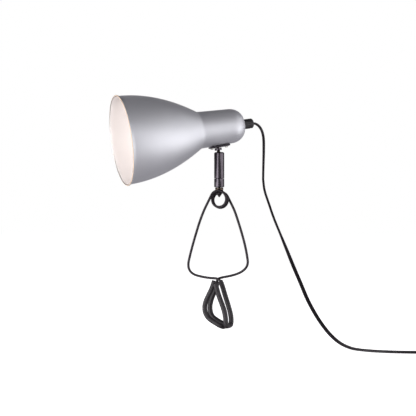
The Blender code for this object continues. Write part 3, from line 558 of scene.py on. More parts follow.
def make_shade():
    """Spun bell and neck: one skin with a real thickness and a small rolled rim."""
    stations = [CREASE_S * i / 60 for i in range(61)]
    stations += [CREASE_S + (NECK_END_S - CREASE_S) * i / 16 for i in range(1, 17)]
    stations += [NECK_END_S + (REAR_S - NECK_END_S) * math.sin(math.radians(d))
                 for d in range(5, 91, 5)]
    outer = [(shade_radius(s), along(s)) for s in stations]
    inner = []
    for (r0, z0), (r1, z1), (r2, z2) in zip(outer, outer[1:], outer[2:]):
        normal = Vector((z0 - z2, r2 - r0)).normalized()
        if r1 > TUBE_HOLE + WALL + 1.0:
            inner.append((r1 - normal.x * WALL, z1 - normal.y * WALL))
    inner.append((TUBE_HOLE, along(REAR_S) + WALL))
    lip = [(MOUTH_R + RIM_R * (0.35 + math.cos(math.radians(a))),
            along(0) + RIM_R * (math.sin(math.radians(a)) - 1.0))
           for a in (170, 140, 110, 80, 50, 20, -10, -40, -65, -85)]
    outline = lip + outer[2:] + [(TUBE_HOLE, along(REAR_S))] + inner[::-1][:-2]

    def paint(r, z):
        """Which of the four materials the skin has there."""
        s = STUD_S - z
        if s < RIM_R * 2.0:
            across = r - MOUTH_R - RIM_R * 0.35
            if across < -RIM_R * 0.5:
                return 2
            # the very front of the lip gets the tan painted reflection
            return 3 if s < RIM_R * 0.5 else 0
        return 1 if r < shade_radius(s) - WALL * 0.4 else 0

    settle(place("shade_skin", lathe(outline, 160, paint=paint), [SILVER, INSIDE, RIM, TAN_EDGE_REFLECTION],
                 AXLE, sharp=50), "shade")


make_shade()
NECK_AT_STUD = AXIS_HEIGHT - shade_radius(STUD_S)

# ------------------------------------------------------------------ saddle plate and rivets
PLATE_LENGTH = 27.4
PLATE_MIDDLE = -2.2
PLATE_HALF_ANGLE = math.radians(17)
PLATE_STANDOFF = 0.9
PLATE_THICK = 1.9
PLATE_CORNER = 0.12                    # share of the strip's length
RIVET_R = 1.4
RIVET_HEAD_R = 2.5
RIVET_FRONT = 8.4
RIVET_REAR = -12.0


def make_plate():
    """A strip pressed to the neck's curve, its two ends bent towards the neck."""
    bm = bmesh.new()
    bmesh.ops.create_grid(bm, x_segments=24, y_segments=60, size=0.5)
    for vert in bm.verts:
        x, y = vert.co.x * 2, vert.co.y * 2
        # round the four corners of the strip
        over = max(0.0, abs(y) - (1 - PLATE_CORNER * 2)) / (PLATE_CORNER * 2)
        x *= 1 - 0.35 * (1 - math.sqrt(max(0.0, 1 - over * over)))
        angle = x * PLATE_HALF_ANGLE
        z = PLATE_MIDDLE + y / 2 * PLATE_LENGTH
        lift = 0.5 * max(0.0, abs(y) - 0.84) / 0.16
        radius = shade_radius(STUD_S - z) + PLATE_STANDOFF - lift
        vert.co = mm((radius * math.sin(angle), -radius * math.cos(angle), z))
    bm.normal_update()
    bmesh.ops.solidify(bm, geom=bm.faces, thickness=-mm(PLATE_THICK))
    obj = place("saddle_strip", bm, BLACK_GLOSS, AXLE)
    round_edges(obj, 0.3, 3)
    settle(obj, "saddle_plate")


def make_rivets():
    for node, z in (("saddle_rivet_front", RIVET_FRONT), ("saddle_rivet_rear", RIVET_REAR)):
        surface = AXIS_HEIGHT - shade_radius(STUD_S - z)
        low = surface - PLATE_STANDOFF - PLATE_THICK - GAP - 0.1
        high = surface + WALL + 0.5
        head = [(RIVET_HEAD_R * math.cos(math.radians(d)),
                 low - 0.9 * math.sin(math.radians(d)))
                for d in range(0, 91, 15)]
        tail = [(RIVET_HEAD_R * math.sin(math.radians(d)),
                 high + 0.8 * math.cos(math.radians(d)))
                for d in range(0, 91, 15)]
        profile = tail + [(RIVET_R, high), (RIVET_R, low)] + head
        profile[-1] = (0, profile[-1][1])
        profile[0] = (0, profile[0][1])
        turned(node + "_head", profile, NICKEL,
               HEAD @ Matrix.Translation(mm((0, 0, z))) @ Matrix.Rotation(-math.pi / 2, 4, "X"),
               node, 32, ring=False, round_it=False)


make_plate()
make_rivets()

# ------------------------------------------------------------------ ball joint and post
BALL_R = 4.7
POST_R = 6.8
FOOT_BOTTOM = 189.3
FOOT_TOP = 201.0
BALL_Z = BALL.z * 1000
SLEEVE_TOP = BALL_Z + 6.1
FILLET = 2.1
COLLAR_R = 4.8
SLOT_WIDTH = 5.2
SLOT_DEPTH = 9.3
SPIGOT_R = 4.2
SPIGOT_TOP = 208.0
GROOVE_R = 3.5                         # groove for the snap ring, in the spigot
GROOVE_TOP = SPIGOT_TOP - 1.6
GROOVE_LOW = SPIGOT_TOP - 2.8
SLEEVE_LOW_BORE_R = 4.55
SLEEVE_TOP_BORE_R = 5.05
BOLT_R = 1.45
COLLAR_LOW = 7.8
THREAD_R = 2.0
THREAD_PITCH = 0.7


def make_ball_joint():
    ball = [(BALL_R * math.sin(math.radians(d)), BALL_R * math.cos(math.radians(d)))
            for d in range(30, 181, 5)]
    ball[-1] = (0, -BALL_R)
    threads = []
    z = NECK_AT_STUD + 4.2
    while z > NECK_AT_STUD - 1.2:
        threads += [(THREAD_R, z), (THREAD_R - 0.3, z - THREAD_PITCH / 2)]
        z -= THREAD_PITCH
    stud = [(0, NECK_AT_STUD + 5.0), (1.5, NECK_AT_STUD + 5.0), *threads,
            (THREAD_R, COLLAR_LOW + 0.6), (2.25, COLLAR_LOW + 0.3), *ball]
    turned("bright_stud", stud, DARK_NICKEL, STUD, "ball_stud", 48, ring=False, round_it=False)
    low, high = COLLAR_LOW + 0.6, NECK_AT_STUD - PLATE_STANDOFF - PLATE_THICK - GAP
    bore = THREAD_R + GAP
    collar = [(bore, high), (COLLAR_R, high), (COLLAR_R, low), (bore, low)]
    turned("knuckle", collar, BLACK_GLOSS, STUD, "knuckle_collar", 64, radius=0.3)


def make_post():
    fillet = [(POST_R - FILLET * (1 - math.sin(a)), SLEEVE_TOP - FILLET * (1 - math.cos(a)))
              for a in (math.radians(d) for d in range(0, 91, 9))]
    outline = [(BALL_R, SLEEVE_TOP), *fillet, (POST_R, FOOT_TOP + 0.5),
               (POST_R - 0.2, FOOT_TOP + GAP), (SLEEVE_LOW_BORE_R, FOOT_TOP + GAP),
               (SLEEVE_LOW_BORE_R, GROOVE_LOW - GAP), (SLEEVE_TOP_BORE_R, GROOVE_LOW),
               (SLEEVE_TOP_BORE_R, BALL_Z + 2.2), (BALL_R - 0.7, BALL_Z + 3.0)]
    sleeve = place("sleeve_tube", lathe(rounded(outline, 0.2), 96), BLACK_GLOSS, POST)
    way = math.atan2(MOUTH_WAY.y, MOUTH_WAY.x)
    # the slot is a straight cut, open at the top
    cutter = place("slot_cutter", box_mesh((12, SLOT_WIDTH, 14)), BLACK_GLOSS)
    bottom = SLEEVE_TOP - SLOT_DEPTH
    middle = Matrix.Rotation(way, 4, "Z") @ Matrix.Translation(mm((8, 0, 0)))
    cutter.data.transform(POST @ Matrix.Translation(mm((0, 0, bottom + 7))) @ middle)
    cut(sleeve, cutter)
    round_edges(sleeve, 0.22, 2)
    settle(sleeve, "post_sleeve")
    foot = [(BOLT_R + GAP, SPIGOT_TOP), (SPIGOT_R - 0.3, SPIGOT_TOP),
            (SPIGOT_R, SPIGOT_TOP - 0.4), (SPIGOT_R, GROOVE_TOP), (GROOVE_R, GROOVE_TOP),
            (GROOVE_R, GROOVE_LOW), (SPIGOT_R, GROOVE_LOW), (SPIGOT_R, FOOT_TOP),
            (POST_R - 0.2, FOOT_TOP), (POST_R, FOOT_TOP - 0.2), (POST_R, FOOT_BOTTOM + 0.8),
            (POST_R - 0.8, FOOT_BOTTOM), (BOLT_R + GAP, FOOT_BOTTOM)]
    turned("foot_ring", foot, BLACK_GLOSS, POST, "post_foot", 96, radius=0.3)


COIL_R = 10.6
COIL_LEAN = 0.2
COIL_CLEAR = 3.3
NIPPLE_R = 5.5
TONGUE_DEPTH = 2.4                     # the nipple reaches down between the turns
TONGUE_THICK = 2.4
CONE_R = 3.9
CONE_DEPTH = 5.5
WIRE_R = 1.65
COIL_Z = COIL_CENTRE.z * 1000


def make_nipple():
    crown = COIL_Z + COIL_R
    low, high = crown + COIL_LEAN * COIL_CLEAR + WIRE_R + GAP, FOOT_BOTTOM - GAP
    foot = low - TONGUE_DEPTH
    profile = [(BOLT_R + GAP, high), (NIPPLE_R - 0.5, high), (NIPPLE_R, high - 0.4),
               (NIPPLE_R, foot + 0.6), (NIPPLE_R - 0.6, foot), (BOLT_R + GAP, foot)]
    nipple = turned("nickel_nipple", profile, DARK_NICKEL, POST, "nipple", 64, radius=0.2)
    cut(nipple, *[place("notch", box_mesh((3 * NIPPLE_R, NIPPLE_R, 2 * TONGUE_DEPTH),
                                          (0, way * (TONGUE_THICK + NIPPLE_R) / 2, foot)),
                        DARK_NICKEL, POST) for way in (-1, 1)])
    nipple.data.set_sharp_from_angle(angle=math.radians(40))
    top = crown - WIRE_R - 1.0
    bolt = [(0, FOOT_BOTTOM + 7), (BOLT_R, FOOT_BOTTOM + 7), (BOLT_R, top), (CONE_R, top),
            (CONE_R, top - 0.8), (0.6, top - CONE_DEPTH), (0, top - CONE_DEPTH)]
    turned("cone_bolt", rounded(bolt, 0.3, closed=False), BLACK_WIRE, POST, "coil_bolt", 48,
           ring=False, round_it=False)


make_ball_joint()
make_post()
make_nipple()

# ------------------------------------------------------------------ spring wire and hoses
COIL_PITCH = 3.65
PASS_START = 0.4
PASS_END = 1.1
COIL_LEAVE = math.radians(23)
SLEEVE_R = 3.4
LEFT_PLANE = 8.2                       # back strand of the left arm's wire and its jaw
RIGHT_PLANE = 13.4                     # the same of the right arm
JAW_DEPTH = 22.0                       # between the two strands of one jaw
JAW_TIP_X = SLEEVE_R + GAP / 2
LEFT_TIP_Z = SLEEVE_R
RIGHT_TIP_Z = SLEEVE_R + 1.4
CORNER = 4.2
LEFT_ARM_ROUTE = [(-31.0, -2.6, 159.0), (-38.3, -0.5, 143.0), (-44.5, 1.5, 126.5),
                  (-50.3, 4.0, 110.5), (-55.3, 6.5, 95.5), (-57.9, 8.0, 85.5),
                  (-56.3, 8.2, 77.2), (-50.0, 8.2, 71.8), (-38.5, 8.2, 68.8),
                  (-26.5, 8.2, 67.2), (-17.0, 8.2, 66.8), (-13.2, 8.2, 65.2)]
RIGHT_JAW_BACK = [(-10.9, 61.4), (-8.4, 55.0), (-5.0, 44.0), (-1.3, 33.0), (1.8, 23.0),
                  (3.5, 14.5), (3.6, 9.5)]
RIGHT_JAW_FRONT = [(-10.7, 59.5), (-8.4, 52.0), (-5.4, 43.0), (-1.4, 33.0), (1.7, 24.0),
                   (3.1, 16.5), (3.5, 10.5)]
RIGHT_ARM_ROUTE = [(8.0, 7.6, 159.0), (13.5, 8.6, 143.0), (18.3, 9.6, 127.0),
                   (22.4, 10.6, 111.0), (25.0, 11.8, 96.0), (25.2, 13.2, 86.5),
                   (20.6, 13.4, 79.0), (11.5, 13.4, 73.6), (1.0, 13.4, 70.4),
                   (-8.0, 13.4, 68.6), (-16.2, 13.4, 66.6), (-18.6, 13.4, 63.4)]
LEFT_JAW_BACK = [(-18.8, 60.0), (-19.1, 57.0), (-20.3, 52.2), (-22.7, 47.0), (-24.9, 42.4),
                 (-26.8, 37.5), (-28.6, 28.5), (-27.8, 20.4), (-24.2, 14.0), (-16.0, 8.9),
                 (-8.1, 4.9)]
LEFT_JAW_FRONT = [(-14.8, 63.0), (-17.8, 54.5), (-22.8, 44.5), (-26.8, 36.0), (-28.1, 28.5),
                  (-26.9, 21.0), (-22.4, 14.4), (-15.0, 9.6), (-7.8, 5.6)]


def coil_depth(turns):
    """Y after so many turns, with a wider step where the bolt passes."""
    if turns <= PASS_START:
        return -COIL_CLEAR + COIL_PITCH * (turns - 0.25)
    if turns >= PASS_END:
        return COIL_CLEAR + COIL_PITCH * (turns - 1.25)
    low, high = coil_depth(PASS_START), coil_depth(PASS_END)
    return low + (high - low) * (turns - PASS_START) / (PASS_END - PASS_START)


def coil_point(turns):
    """On the coil, turns counted from the left side over the top."""
    angle = math.pi - math.tau * turns
    y = coil_depth(turns)
    return Vector((POST_X * 1000 + COIL_R * math.cos(angle), y,
                   COIL_Z + COIL_R * math.sin(angle) - COIL_LEAN * y))


COIL_START = COIL_LEAVE / math.tau
COIL_END = 2.5 - COIL_START
COIL_SPLIT = 1.3                       # the two halves of the wire meet here, inside the coil


def jaw_loop(back, front, plane, tip_x, tip_z):
    """Down the back strand, across at the tip and up the front strand."""
    near = plane - JAW_DEPTH
    down = [Vector((x, plane, z)) for x, z in back]
    tip = [Vector((tip_x, plane - CORNER * 0.3, tip_z + 0.5)),
           Vector((tip_x, plane - CORNER, tip_z)),
           Vector((tip_x, near + CORNER, tip_z)),
           Vector((tip_x, near + CORNER * 0.3, tip_z + 0.5))]
    return down + tip + [Vector((x, near, z)) for x, z in reversed(front)]


def make_arm(side, arm, jaw, turns, sign, nodes):
    """The wire from inside the coil to the free end of the jaw, and the hose on the jaw."""
    leave = coil_point(turns)
    line = eased(smooth_route([leave, *[Vector(p) for p in arm], *jaw], 1.2), 6)
    wound = [coil_point(COIL_SPLIT + sign * 0.001
                        + (turns - COIL_SPLIT - sign * 0.001) * i / 90) for i in range(90)]
    wire = place(f"{side}_spring_wire",
                 sweep(wound + line, circle(WIRE_R, 20), round_ends=WIRE_R * 0.4), BLACK_WIRE)
    pivot = Vector((POST_X, 0, COIL_Z * 0.001))
    out = -1 if side == "left" else 1
    pivot + mm((out * 8.0, 0, -5.0))
    pivot + mm((out * 30.0, 0, -36.0))
    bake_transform(wire)
    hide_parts(nodes[0])
    top = Vector(arm[-1])
    first = min(range(len(line)), key=lambda i: (line[i] - top).length) + 2
    hose = line[first:]
    hose.append(hose[-1] + (hose[-1] - hose[-2]).normalized() * 1.2)
    skin = place(f"{nodes[1]}_hose",
                 sweep(hose, circle(SLEEVE_R, 48, ribs=12, depth=0.14), round_ends=0.5), RUBBER,
                 sharp=60)
    settle(skin, nodes[1])


make_arm("left", LEFT_ARM_ROUTE,
         jaw_loop(RIGHT_JAW_BACK, RIGHT_JAW_FRONT, LEFT_PLANE, JAW_TIP_X, RIGHT_TIP_Z),
         COIL_START, 1, ("left_arm_wire", "right_jaw_sleeve"))
make_arm("right", RIGHT_ARM_ROUTE,
         jaw_loop(LEFT_JAW_BACK, LEFT_JAW_FRONT, RIGHT_PLANE, -JAW_TIP_X, LEFT_TIP_Z),
         COIL_END, -1, ("right_arm_wire", "left_jaw_sleeve"))
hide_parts("spring_coil")

# ------------------------------------------------------------------ cord grip
GRIP_R = 6.65
GRIP_START = REAR_S + GAP
GRIP_END = 184.0
GRIP_BORE = 2.9
GRIP_COUNTERBORE_S = 177.6             # where the bore for the threaded tube ends
GRIP_SCREW_S = 180.2
GRIP_RIBS = 20


def make_grip():
    """A moulded sleeve with ribs to turn it by, a plain collar and a chamfered mouth."""
    steps = GRIP_RIBS * 8
    bm = bmesh.new()
    # radius, place along the shade's axis, and how deep the ribs are there
    stations = [(TUBE_HOLE, GRIP_START, 0), (GRIP_R - 0.35, GRIP_START, 0),
                (GRIP_R, GRIP_START + 0.3, 0), (GRIP_R, 171.6, 0), (GRIP_R, 172.0, 1),
                (GRIP_R, 181.7, 1), (GRIP_R - 0.05, 182.1, 0.6), (GRIP_R - 0.3, 182.6, 0),
                (4.95, 183.9, 0), (4.7, GRIP_END, 0), (GRIP_BORE + 0.4, GRIP_END, 0),
                (GRIP_BORE, GRIP_END - 0.4, 0), (GRIP_BORE, GRIP_COUNTERBORE_S, 0),
                (TUBE_HOLE, GRIP_COUNTERBORE_S, 0)]
    rows = []
    for r, s, ribbed in stations:
        row = []
        for k in range(steps):
            angle = math.tau * k / steps
            hollow = 0.30 * ribbed * (0.5 - 0.5 * math.cos(angle * GRIP_RIBS)) ** 2
            row.append(bm.verts.new(mm(((r - hollow) * math.cos(angle),
                                        (r - hollow) * math.sin(angle), along(s)))))
        rows.append(row)
    for a, b in zip(rows, rows[1:] + rows[:1]):
        for k in range(steps):
            n = (k + 1) % steps
            bm.faces.new((a[k], b[k], b[n], a[n]))
    grip = place("grip_sleeve", bm, BLACK_PLASTIC, AXLE)
    hole = lathe([(0, 9), (1.6, 9), (1.6, 0), (0, 0)], 32, ring=False)
    down = (AXLE @ Matrix.Translation(mm((0, 0, along(GRIP_SCREW_S))))
            @ Matrix.Rotation(math.pi / 2, 4, "X"))
    cut(grip, place("grip_hole", hole, BLACK_PLASTIC, down))
    settle(grip, "cord_grip")
    screw = place("grip_grub_screw",
                  lathe(rounded([(0, 6.25), (1.3, 6.25), (1.3, 2.6), (0, 2.6)], 0.25,
                                closed=False), 32, ring=False), NYLON, down)
    slot = place("driver_slot", box_mesh((0.5, 4, 1.0), (0, 0, 6.1)), NYLON, down)
    cut(screw, slot)
    settle(screw, "grip_screw")


make_grip()

# ------------------------------------------------------------------ bulb and lampholder
HOLDER_R = 17.6
CAP_R = 13.0
THREAD_STEP = 3.6                      # of the Edison thread
GLOBE_R = 30.0
GLOBE_S = 60.0
GLASS = 0.8


def thread(radius, depth, start, stop, pitch):
    """A wavy outline that stands for the thread, eight points to a wave."""
    count = int(abs(stop - start) / pitch * 8)
    return [(radius + depth * math.cos(math.tau * i / 8),
             along(start + (stop - start) * i / count)) for i in range(count + 1)]


def make_bulb():
    dome = [(GLOBE_R * math.sin(math.radians(d)),
             along(GLOBE_S) + GLOBE_R * math.cos(math.radians(d))) for d in range(0, 121, 5)]
    throat = smooth_route([(*p, 0) for p in [(26.0, along(75.0)), (22.6, along(80.5)),
                                             (18.6, along(89.0)), (15.6, along(97.0)),
                                             (13.9, along(103.0)), (13.5, along(105.6))]], 1.5)
    outer = dome + [(p.x, p.y) for p in throat[1:]]
    inner = [(max(0.0, r - GLASS), z - (GLASS if r < 24 and z > along(GLOBE_S) else 0))
             for r, z in outer]
    outline = outer + inner[::-1]
    turned("opal_globe", outline, OPAL, AXLE, "bulb_globe", 96, ring=False, round_it=False)
    cap = [(12.5, along(106.0)), (13.9, along(106.0)), (13.9, along(107.0)),
           (CAP_R + 0.3, along(109.0)), *thread(CAP_R, 0.4, 114.4, 132.4, THREAD_STEP),
           (9.0, along(133.6)), (9.0, along(132.8)), (11.6, along(131.6)), (11.6, along(109.0))]
    turned("edison_cap", cap, NICKEL, AXLE, "bulb_cap", 64, round_it=False)


def make_holder():
    shell = [(HOLDER_R - 1.6, along(116)), (HOLDER_R, along(116)), (HOLDER_R, along(151.7)),
             (HOLDER_R - 1.6, along(151.7))]
    turned("holder_sleeve", shell, PORCELAIN, AXLE, "holder_shell", 80, radius=0.6)
    brass = [(CAP_R + 1.9, along(117.5)),
             *[(r + 1.5, z) for r, z in thread(CAP_R, 0.45, 118.0, 136.0, THREAD_STEP)],
             *reversed(thread(CAP_R + 0.95, 0.45, 118.0, 136.0, THREAD_STEP)),
             (CAP_R + 1.3, along(117.5))]
    turned("brass_thread", brass, BRASS, AXLE, "screw_shell", 64, round_it=False)


make_bulb()
make_holder()

# ------------------------------------------------------------------ cord
CORD_WIDE = 2.5                        # half width of the flat sheath
CORD_THICK = 1.5                       # half thickness
EXIT = HEAD @ mm((0, AXIS_HEIGHT, along(GRIP_END + GAP)))
JUNCTION = Vector((49.0, 6.5, 199.5))
UPPER_ROUTE = [(32.0, 34.6, 274.4), (36.6, 38.0, 267.6), (39.8, 37.0, 256.5),
               (43.0, 28.0, 238.0), (46.0, 17.0, 218.0), (49.0, 6.5, 199.5)]
LEAD_ROUTE = [(49.0, 6.5, 199.5), (54.0, -3.0, 184.5), (63.0, -13.5, 168.0),
              (74.0, -27.0, 149.0), (88.0, -43.0, 128.0), (102.0, -60.5, 108.0),
              (116.0, -79.0, 88.5), (131.0, -99.0, 69.0), (147.0, -121.5, 49.0),
              (165.8, -144.8, 29.8), (183.8, -163.4, 14.9), (201.0, -180.2, 5.6),
              (218.5, -197.6, 1.8), (234.0, -211.5, 1.5), (255.0, -219.5, 1.5),
              (280.0, -219.5, 1.5), (306.0, -213.8, 1.5)]
LEAD_AHEAD = RIGHT.copy()              # the switch and the plug lie along this line
LEAD_ASIDE = Vector((-LEAD_AHEAD.y, LEAD_AHEAD.x, 0))
SWITCH_SIZE = (58.0, 24.0, 17.0)
SWITCH_START = Vector((306.0, -213.8, 0.0))
LINK_ROUTE = [(9, 0), (20, 5), (24, 16), (21.2, 29), (17.8, 42)]
RING_MIDDLE = Vector((325.0, -150.3, 0.0))
TURN_RADII = (33.3, 28.1, 22.9)
LOW_LAYER = 1.5
HIGH_LAYER = 4.8
TAIL_TO_PLUG = [(36.0, 20.0, 3.6), (35.4, 32.0, 2.6), (34.5, 46.0, 4.2), (34.0, 60.0, 6.85)]
TIE_ANGLE = math.radians(200)
TIE_LIFT = 0.75


def flat_section():
    """Two round lobes side by side with a shallow valley between them."""
    out = []
    for side in (1, -1):
        for d in range(-90, 91, 15):
            a = math.radians(d + (0 if side > 0 else 180))
            out.append((side * (CORD_WIDE - CORD_THICK) + CORD_THICK * math.cos(a),
                        CORD_THICK * math.sin(a)))
        out.append((0.0, side * (CORD_THICK - 0.22)))
    return out


def eased_share(value, start, stop):
    share = max(0.0, min(1.0, (value - start) / (stop - start)))
    return share * share * (3 - 2 * share)


def cord_widths(points):
    """Upright edge from the grip down, then turning until the sheath lies flat."""
    out = []
    for i, point in enumerate(points):
        tangent = points[min(i + 1, len(points) - 1)] - points[max(i - 1, 0)]
        upright = (-TILT_AXIS).lerp(LEAD_ASIDE, eased_share(-point.z, -255, -200)).normalized()
        low = UP.cross(tangent).normalized()
        turn = upright.angle(low) * eased_share(-point.z, -140, -75)
        if point.z < 75:
            out.append(low)
        elif turn:
            out.append(Matrix.Rotation(turn, 3, upright.cross(low).normalized()) @ upright)
        else:
            out.append(upright)
    return out


def wound_points():
    """Three turns inwards on the floor and three outwards on top of them."""
    out = []
    steps = 40
    radii = (*TURN_RADII, *reversed(TURN_RADII))
    levels = (LOW_LAYER,) * 3 + (HIGH_LAYER,) * 3
    for k in range(6 * steps + 1):
        turn = k / steps
        lane = min(int(turn), 5)
        part = turn - lane
        # each turn keeps its lane, then steps over to the next in its last quarter
        share = eased_share(part, 0.72, 1.0)
        after = min(lane + 1, 5)
        radius = radii[lane] + (radii[after] - radii[lane]) * share
        level = levels[lane] + (levels[after] - levels[lane]) * share
        angle = math.tau * turn
        away = (math.degrees(angle - TIE_ANGLE) + 180) % 360 - 180
        level += TIE_LIFT * math.exp(-(away / 16.0) ** 2)
        out.append(RING_MIDDLE + (LEAD_AHEAD * math.cos(angle) + LEAD_ASIDE * math.sin(angle))
                   * radius + UP * level)
    return out


def make_cord():
    inside = EXIT * 1000 + (EXIT - HEAD @ mm((0, AXIS_HEIGHT, 0))).normalized() * -6.0
    start = EXIT * 1000
    upper = eased(smooth_route([inside, start, *UPPER_ROUTE], 2.0), 4)
    main = eased(smooth_route(LEAD_ROUTE, 2.0), 4)
    switch_end = SWITCH_START + LEAD_AHEAD * SWITCH_SIZE[0] + UP * CORD_THICK
    through = smooth_route([main[-1], switch_end], 2.0)
    link = [switch_end + LEAD_AHEAD * a + LEAD_ASIDE * b for a, b in LINK_ROUTE]
    wound = wound_points()
    first = smooth_route([switch_end, *link, wound[3]], 2.0)
    last = smooth_route([wound[-1], *[RING_MIDDLE + LEAD_AHEAD * a + LEAD_ASIDE * b + UP * z
                                      for a, b, z in TAIL_TO_PLUG]], 2.0)
    line = eased(main[:-1] + through[:-1] + first[:-1] + wound[3:-1] + last, 3)
    last_way = (line[-1] - line[-2]).normalized()
    line.append(line[-1] + last_way * 2.0)
    return upper, line


def swept_cord(name, points, start, end):
    """A length of lead swept along points, left in its place; start and end are not used."""
    obj = place(name, sweep(points, flat_section(), cord_widths(points)), PVC, sharp=60)
    mm(start)
    mm(end)
    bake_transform(obj)
    return obj


UPPER_LINE, MAIN_LINE = make_cord()
cord_upper = swept_cord("cord_upper", UPPER_LINE,
                        (32.0, 34.6, 274.4), JUNCTION)
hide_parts("cord_tail")
cord_main = swept_cord("cord_main", MAIN_LINE,
                       JUNCTION, (88.0, -43.0, 128.0))
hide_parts("cord_lead", "cord_link", "cord_coil", "cord_end")


# ------------------------------------------------------------------ switch on the lead
SWITCH = (Matrix.Translation(mm(SWITCH_START + LEAD_AHEAD * (SWITCH_SIZE[0] / 2)))
          @ Matrix.Rotation(CAMERA_AZIMUTH, 4, "Z"))
SPLIT = SWITCH_SIZE[2] / 2
ROCKER_Z = SWITCH_SIZE[2] - 6.5
ROCKER_R = 10.4
ROCKER_HALF = 10.3
ROCKER_UNDER = 0.4                     # its underside clears the lower case when it is pressed


def case_outline(grow):
    """Outline of the switch case seen from above: straight sides and round ends."""
    long, wide, corner = SWITCH_SIZE[0] / 2 + grow, SWITCH_SIZE[1] / 2 + grow, 7.0
    out = []
    for cx, cy, first in ((1, 1, 0), (-1, 1, 90), (-1, -1, 180), (1, -1, 270)):
        for d in range(0, 91, 15):
            a = math.radians(first + d)
            out.append((cx * (long - corner) + corner * math.cos(a),
                        cy * (wide - corner) + corner * math.sin(a)))
    return out


def stacked(levels):
    """A closed solid through outlines of equal count: a list of (points, z)."""
    bm = bmesh.new()
    rows = [[bm.verts.new(mm((x, y, z))) for x, y in points] for points, z in levels]
    fill_between(bm, rows)
    return bm


def make_switch():
    seam = 0.35
    low = [(case_outline(-1.6), 0.0), (case_outline(-0.6), 0.35), (case_outline(0), 1.6),
           (case_outline(0), SPLIT - seam), (case_outline(-seam), SPLIT - 0.05)]
    base = place("switch_lower_case", stacked(low), BLACK_PLASTIC, SWITCH)
    hole = place("lead_bore", sweep([Vector((-40, 0, 0)), Vector((40, 0, 0))],
                                    [(x * 1.12, y * 1.2) for x, y in flat_section()],
                                    [Vector((0, 1, 0))] * 2), BLACK_PLASTIC,
                 SWITCH @ Matrix.Translation(mm((0, 0, CORD_THICK + 0.25))))
    cut(base, hole)
    settle(base, "switch_base")
    high = [(case_outline(-seam), SPLIT + 0.05), (case_outline(0), SPLIT + seam),
            (case_outline(0), 14.2), (case_outline(-0.5), 15.9), (case_outline(-1.6), 16.75),
            (case_outline(-2.8), 17.0)]
    cover = place("switch_upper_case", stacked(high), BLACK_PLASTIC, SWITCH)
    window = place("rocker_opening", box_mesh((22.4, 13.0, 27.0), (0, 0, SWITCH_SIZE[2] + 3.5)),
                   BLACK_PLASTIC, SWITCH)
    cut(cover, window)
    round_edges(cover, 0.25, 2)
    settle(cover, "switch_cover")
    shape = []
    for d in range(-90, 91, 6):
        x = ROCKER_HALF * math.sin(math.radians(d))
        dip = 1.5 * (x / ROCKER_HALF) ** 2
        shape.append((x, min(math.sqrt(max(0.0, ROCKER_R ** 2 - x * x)), 5.1 + dip)))
    shape += [(ROCKER_HALF, ROCKER_UNDER), (-ROCKER_HALF, ROCKER_UNDER)]
    bm = bmesh.new()
    rows = []
    for y, size in ((-5.9, 0.975), (-5.6, 1.0), (5.6, 1.0), (5.9, 0.975)):
        rows.append([bm.verts.new(mm((x * size, y, z * size))) for x, z in shape])
    fill_between(bm, rows)
    rocker = place("rocker_cap", bm, ROCKER, SWITCH @ Matrix.Translation(mm((0, 0, ROCKER_Z))))
    settle(rocker, "switch_rocker")


# ------------------------------------------------------------------ plug
PLUG_SIZE = (35.3, 36.0, 13.7)
PLUG_NECK_R = 6.0
PIN_APART = 9.3                        # from the plug's middle to a pin's axis
PIN_R = 2.0
PIN_TIP = 55.0
PLUG = (Matrix.Translation(mm(RING_MIDDLE + LEAD_AHEAD * TAIL_TO_PLUG[-1][0]
                              + LEAD_ASIDE * TAIL_TO_PLUG[-1][1] + UP * TAIL_TO_PLUG[-1][2]))
        @ Matrix.Rotation(CAMERA_AZIMUTH, 4, "Z"))


def plug_half_width(y):
    return PLUG_NECK_R + (PLUG_SIZE[0] / 2 - PLUG_NECK_R) * eased_share(y, 6.0, 25.0)


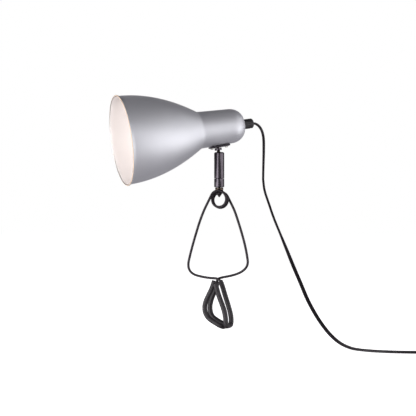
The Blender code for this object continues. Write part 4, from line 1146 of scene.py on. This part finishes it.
def make_plug():
    """Flat two-pin moulded plug: a ribbed neck that opens into the wide grip."""
    bm = bmesh.new()
    rows = []
    stations = [0.0, 0.4, 1.2, 2.0, 2.6, 3.2, 3.8, 4.6, 5.2, 5.8, 6.4, 7.2, 8.5, 10, 12, 14, 16,
                18, 20, 22, 24, 26, 29, 32, 34.2, 35.4, 36.0]
    for y in stations:
        wide = plug_half_width(y)
        tall = PLUG_SIZE[2] / 2 * (0.62 + 0.38 * min(1.0, y / 16.0))
        pinch = 0.88 if 2.0 < y < 7.0 and int((y - 2.0) / 0.62) % 2 == 0 else 1.0
        end = min(1.0, 0.86 + 0.14 * min(y, PLUG_SIZE[1] - y) / 1.2)
        wide, tall = wide * pinch * end, tall * pinch * end
        row = []
        for k in range(48):
            a = math.tau * k / 48
            c, s = math.cos(a), math.sin(a)
            row.append(bm.verts.new(mm((math.copysign(abs(c) ** 0.55, c) * wide, y,
                                        math.copysign(abs(s) ** 0.55, s) * tall))))
        rows.append(row)
    fill_between(bm, rows)
    body = settle(place("plug_moulding", bm, BLACK_PLASTIC, PLUG), "plug_body")
    pins = []
    for side, node in ((-1, "plug_pin_left"), (1, "plug_pin_right")):
        lay = (PLUG @ Matrix.Translation(mm((side * PIN_APART, 0, 0)))
               @ Matrix.Rotation(-math.pi / 2, 4, "X"))
        tip = [(PIN_R * math.sin(math.radians(d)),
                PIN_TIP - PIN_R + PIN_R * math.cos(math.radians(d))) for d in range(0, 91, 15)]
        metal = [(0, PIN_TIP), *tip[1:], (PIN_R, 45.0), (PIN_R, 35.0), (0, 35.0)]
        pins.append(settle(place(f"{node}_metal", lathe(metal, 32, ring=False), NICKEL, lay),
                           node))
        sleeve = [(2.03, 46.0), (2.12, 45.7), (2.12, 36.0), (1.9, 36.0), (1.9, 46.0)]
        skin = place(f"{node}_sheath", lathe(sleeve, 32), BLACK_PLASTIC, lay)
        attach(skin, BODY_OF[node])
        pins.append(skin)
    return [body, *pins]


make_switch()
PLUG_PIECES = make_plug()


def make_tie():
    """A flat band round the wound lead."""
    way = LEAD_AHEAD * math.cos(TIE_ANGLE) + LEAD_ASIDE * math.sin(TIE_ANGLE)
    side = UP.cross(way)
    middle = RING_MIDDLE + way * TURN_RADII[1]
    low, high, near, far = 0.3, 7.3, -8.3, 8.3
    band = [middle + way * a + UP * b
            for a, b in ((near, low + 1.6), (near + 1.6, low), (0, low), (far - 1.6, low),
                         (far, low + 1.6), (far, high - 1.8), (far - 1.8, high),
                         (2, high + 0.35), (-4, high + 0.1), (near, high - 1.8))]
    loop = smooth_route([*band, band[0]], 1.0)
    section = [(-1.6, -0.25), (1.6, -0.25), (1.6, 0.25), (-1.6, 0.25)]
    tie = place("cord_tie", sweep(loop, section, [side] * len(loop)), BLACK_PLASTIC)
    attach(tie, "post_sleeve")
    return tie


CORD_TIE = make_tie()


def path_of(line):
    """Every second point of the line and its end, in metres."""
    picked = line[::2]
    if picked[-1] != line[-1]:
        picked = [*picked, line[-1]]
    return [tuple(mm(p)) for p in picked]


def length_of(line):
    return sum((b - a).length for a, b in zip(line, line[1:])) * 0.001


round(length_of(UPPER_LINE), 3)
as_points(path_of(UPPER_LINE))
tuple(mm(JUNCTION))
round(length_of(MAIN_LINE), 3)
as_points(path_of(MAIN_LINE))
